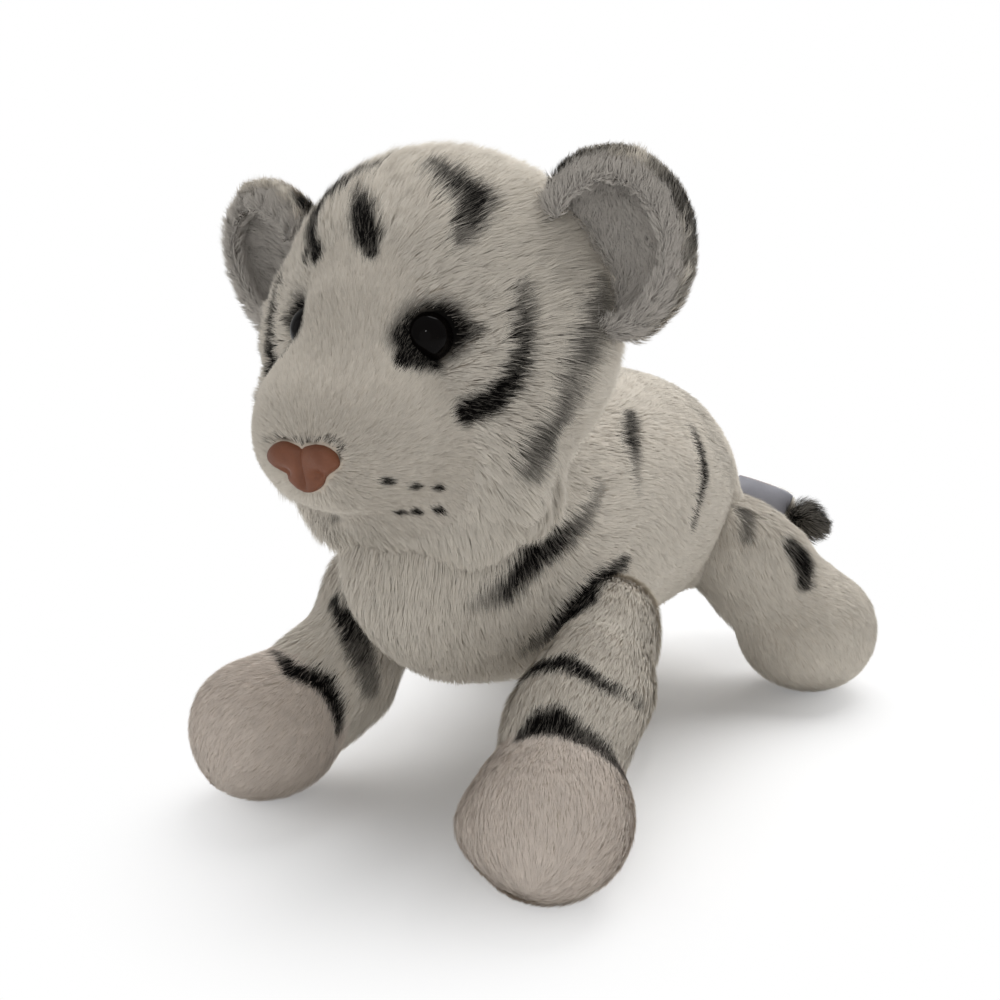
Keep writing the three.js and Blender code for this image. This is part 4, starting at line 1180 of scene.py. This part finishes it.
class Finish:
    """A material with one shader, whose other nodes all come from node()."""

    def __init__(self, name, **constants):
        self.material = bpy.data.materials.new(name)
        self.material.use_nodes = True
        self.tree = self.material.node_tree
        self.shader = self.tree.nodes["Principled BSDF"]
        for socket, value in constants.items():
            self.shader.inputs[socket.replace("_", " ")].default_value = value

    def node(self, kind, settings=None, sockets=None, out=0):
        made = self.tree.nodes.new(kind)
        for setting, value in (settings or {}).items():
            setattr(made, setting, value)
        for socket, value in (sockets or {}).items():
            self.plug(made.inputs[socket], value)
        return Signal(self, made.outputs[out])

    def plug(self, socket, value):
        if isinstance(value, Signal):
            self.tree.links.new(value.socket, socket)
        else:
            socket.default_value = value

    def mix(self, share, first, second):
        """Two colours, mixed by a share."""
        return self.node("ShaderNodeMix", {"data_type": "RGBA"}, {0: share, 6: first, 7: second}, out=2)

    def place(self):
        """The place on the object, in metres."""
        return self.node("ShaderNodeTexCoord", out=3)

    def noise(self, scale, detail):
        sockets = {"Vector": self.place(), "Scale": scale, "Detail": detail}
        return self.node("ShaderNodeTexNoise", None, sockets)

    def read(self, attribute):
        """An attribute of the piece, as a number."""
        return self.node("ShaderNodeAttribute", {"attribute_name": attribute}, out=2)

    def bump(self, height, strength, distance):
        self.plug(self.shader.inputs["Normal"],
                  self.node("ShaderNodeBump", None,
                            {"Strength": strength, "Distance": distance, "Height": height}))

    def colour(self, value):
        self.plug(self.shader.inputs["Base Color"], value)

    def give(self, *pieces):
        for piece in pieces:
            piece.data.materials.clear()
            piece.data.materials.append(self.material)


def screen(red, green, blue):
    """A colour as a picture's numbers from 0 to 255 give it."""
    def linear(value):
        value /= 255
        return value / 12.92 if value <= 0.04045 else ((value + 0.055) / 1.055) ** 2.4
    return (linear(red), linear(green), linear(blue), 1)


print("a mid grey is", round(screen(128, 128, 128)[0], 3), "in the shader")

# %% [markdown]
# ## Plush
# Each fibre's own map holds how black it is and its shade in one direction, and the way from root to tip in
# the other. White fibres are darker and warmer at the root, where little light comes. The skin below has a
# white of the same kind and the same black stripes, so that no bare backing shows through.

# %% Pile and backing
# Black, like white, is darker at the root: painted shade, where little light comes.
BLACK_TIP, BLACK_ROOT = screen(15, 13, 12), screen(8, 7, 6)


def pile_finish(name, tip, root):
    finish = Finish(name, Roughness=0.85, Specular_IOR_Level=0.05)
    on_map = finish.node("ShaderNodeUVMap", {"uv_map": "OFBake"})
    apart = finish.node("ShaderNodeSeparateXYZ", None, {0: on_map})
    along = Signal(finish, apart.socket.node.outputs[1])
    steps = apart * LEVELS
    level, shade = steps.math("FLOOR", steps) * (1 / (LEVELS - 1)), steps.math("FRACT", steps)
    mixed = finish.mix(level, finish.mix(along, root, tip), finish.mix(along, BLACK_ROOT, BLACK_TIP))
    lit = finish.node("ShaderNodeVectorMath", {"operation": "SCALE"}, {0: mixed, "Scale": shade * 0.2 + 0.9})
    finish.colour(lit)
    return finish


def backing_finish(name, pale):
    finish = Finish(name, Roughness=0.95, Specular_IOR_Level=0.1)
    grain = finish.noise(900, 2)
    cloth = finish.mix(grain * 0.5, pale, tuple(c * 0.8 for c in pale[:3]) + (1,))
    finish.colour(finish.mix(finish.read("black"), cloth, BLACK_ROOT))
    finish.bump(grain, 0.4, 0.3 * MM)
    return finish


white_pile = pile_finish("white_pile", screen(216, 209, 197), screen(200, 191, 178))
grey_pile = pile_finish("grey_pile", screen(198, 192, 184), screen(160, 154, 147))
# A lighter copy of the white pile for the forepaws: painted light, where the lamps leave them in shade.
painted_light_paw_pile = pile_finish("painted_light_paw_pile", screen(222, 211, 200), screen(210, 198, 186))
white_backing = backing_finish("white_backing", screen(204, 192, 176))
grey_backing = backing_finish("grey_backing", screen(172, 167, 161))
for name, pieces in pelts.items():
    lining, paw = name.startswith("ear_lining"), name.startswith("forepaw")
    (grey_pile if lining else painted_light_paw_pile if paw else white_pile).give(*pieces)
    if name in skins:
        (grey_backing if lining else white_backing).give(skins[name])
print("plush on", len(pelts), "pelts")

# %% [markdown]
# ## Leather, eyes, label and what is inside
# The nose leather is matt with a fine grain. The eyes are polished plastic, which takes its looks from
# gloss alone. The satin shows its weave. Filling and pellets are pale, with the grain of fibre and of
# beads.

# %% Leather, eyes and label
leather = Finish("nose_leather", Roughness=0.52, Specular_IOR_Level=0.35)
grain, blotch = leather.noise(1400, 4), leather.noise(160, 2)
leather.colour(leather.mix(blotch * 0.7 + grain * 0.25, screen(92, 52, 34), screen(138, 86, 60)))
leather.bump(grain, 0.35, 0.25 * MM)
leather.give(nose)

eye_gloss = Finish("eye_gloss", Roughness=0.06, Specular_IOR_Level=0.06)
eye_gloss.colour(eye_gloss.mix(eye_gloss.noise(120, 2), screen(4, 3, 3), screen(14, 11, 10)))
eye_gloss.give(*(piece for piece, _ in eyes.values()))

satin = Finish("label_satin", Roughness=0.42, Specular_IOR_Level=0.5)
weave = satin.node("ShaderNodeTexWave", {"wave_type": "BANDS", "bands_direction": "Y"},
                   {"Vector": satin.node("ShaderNodeTexCoord", out=2), "Scale": 60, "Distortion": 0.4})
thread = satin.noise(2200, 2)
face = satin.mix(weave * 0.4 + thread * 0.4, screen(134, 134, 142), screen(172, 172, 180))
satin.colour(satin.mix(satin.read("fold"), face, screen(120, 100, 92)))
satin.bump(weave, 0.3, 0.08 * MM)
satin.give(label)
print("leather, gloss and satin are on")

# %% Filling, pellets and washers
fibre_fill = Finish("fibre_filling", Roughness=0.9)
wisps = fibre_fill.noise(420, 6)
fibre_fill.colour(fibre_fill.mix(wisps, screen(214, 212, 206), screen(242, 241, 237)))
fibre_fill.bump(wisps, 0.8, 1 * MM)
beads = Finish("pellet_beads", Roughness=0.5)
cells = beads.node("ShaderNodeTexVoronoi", None, {"Vector": beads.place(), "Scale": 380})
beads.colour(beads.mix(cells, screen(240, 240, 236), screen(196, 196, 190)))
beads.bump(cells, 0.9, 0.8 * MM)
for node, piece in fillings.items():
    (fibre_fill if insides[node] == "stuffing" else beads).give(piece)
white_backing.give(fillings["neck_stuffing"])  # the neck's cloth shows at the nape as the head nods

moulded = Finish("washer_plastic", Roughness=0.45, Specular_IOR_Level=0.45)
moulded.colour(moulded.mix(moulded.noise(260, 3), screen(222, 222, 218), screen(240, 240, 238)))
for node in ("eye_washer_left", "eye_washer_right", "nose_washer"):
    piece = frame["nodes"][node]
    if not piece.material_slots:
        piece.data.materials.append(None)
    for slot in piece.material_slots:
        slot.material = moulded.material
print("filling, pellets and washers have their finishes")

# %% [markdown]
# ## Studio
# The toy stands on a white table under broad soft lamps, as in a shop picture. The lamps are set so that a
# colour comes out about as it is written. Away from the toy the table gives off its own white, for the
# camera alone, so that it runs out into the background.

# %% The table
FADE_FROM, FADE_TO, FADE_STRETCH = 0.05, 0.15, (1, 0.72, 1)
bpy.ops.object.select_all(action="DESELECT")
bpy.ops.mesh.primitive_plane_add(size=8)
floor = bpy.context.active_object
floor.name = "studio_floor"
table = Finish("table_white", Roughness=0.9, Specular_IOR_Level=0.1)
table.colour(table.mix(table.noise(3, 2), (0.93, 0.93, 0.93, 1), (0.95, 0.95, 0.95, 1)))
table.give(floor)
glow = table.node("ShaderNodeEmission", None, {"Strength": 1})
stretched = table.node("ShaderNodeVectorMath", {"operation": "MULTIPLY"}, {0: table.place(), 1: FADE_STRETCH})
far = table.node("ShaderNodeVectorMath", {"operation": "LENGTH"}, {0: stretched}, out=1)
fade = table.node("ShaderNodeMapRange", {"interpolation_type": "SMOOTHSTEP"},
                  {"Value": far, "From Min": FADE_FROM, "From Max": FADE_TO})
seen = table.node("ShaderNodeLightPath", out=0)
own_shade = Signal(table, table.shader.outputs[0])
blend = table.node("ShaderNodeMixShader", None, {0: fade * seen, 1: own_shade, 2: glow})
table.plug(table.tree.nodes["Material Output"].inputs["Surface"], blend)
print("the table fades to white from", FADE_FROM, "to", FADE_TO, "m")

# %% Lamps and world
LAMPS = {  # place in metres, size in metres and watts
    "overhead": ((0, 0.7, 1.25), 1.3, 17.5), "front_left": ((0.6, -1.3, 0.4), 1.2, 1.2),
    "front_right": ((-1.1, -0.9, 0.4), 1.2, 1.4), "catchlight": ((0.42, -0.8, 0.62), 0.05, 0.6)}
LAMPS_AIM = Vector((0, 0, 0.1))
WORLD_LIGHT = 0.5  # how bright the world is as a light. The camera sees it at 1.

for name, (place, size, watts) in LAMPS.items():
    data = bpy.data.lights.new(name, "AREA")
    data.shape, data.size, data.energy = "DISK", size, watts
    lamp = bpy.data.objects.new(name, data)
    bpy.context.scene.collection.objects.link(lamp)
    lamp.location = place
    lamp.rotation_mode = "QUATERNION"
    lamp.rotation_quaternion = (LAMPS_AIM - Vector(place)).to_track_quat("-Z", "Y")

world = bpy.data.worlds.new("studio")
bpy.context.scene.world = world
world.use_nodes = True
nodes, links = world.node_tree.nodes, world.node_tree.links
nodes["Background"].inputs["Color"].default_value = (1, 1, 1, 1)
path, brighter = nodes.new("ShaderNodeLightPath"), nodes.new("ShaderNodeMath")
brighter.operation = "MAXIMUM"
links.new(path.outputs["Is Camera Ray"], brighter.inputs[0])
brighter.inputs[1].default_value = WORLD_LIGHT
links.new(brighter.outputs[0], nodes["Background"].inputs["Strength"])
bpy.context.scene.view_settings.view_transform = "Standard"
print(len(LAMPS), "lamps and a white world")
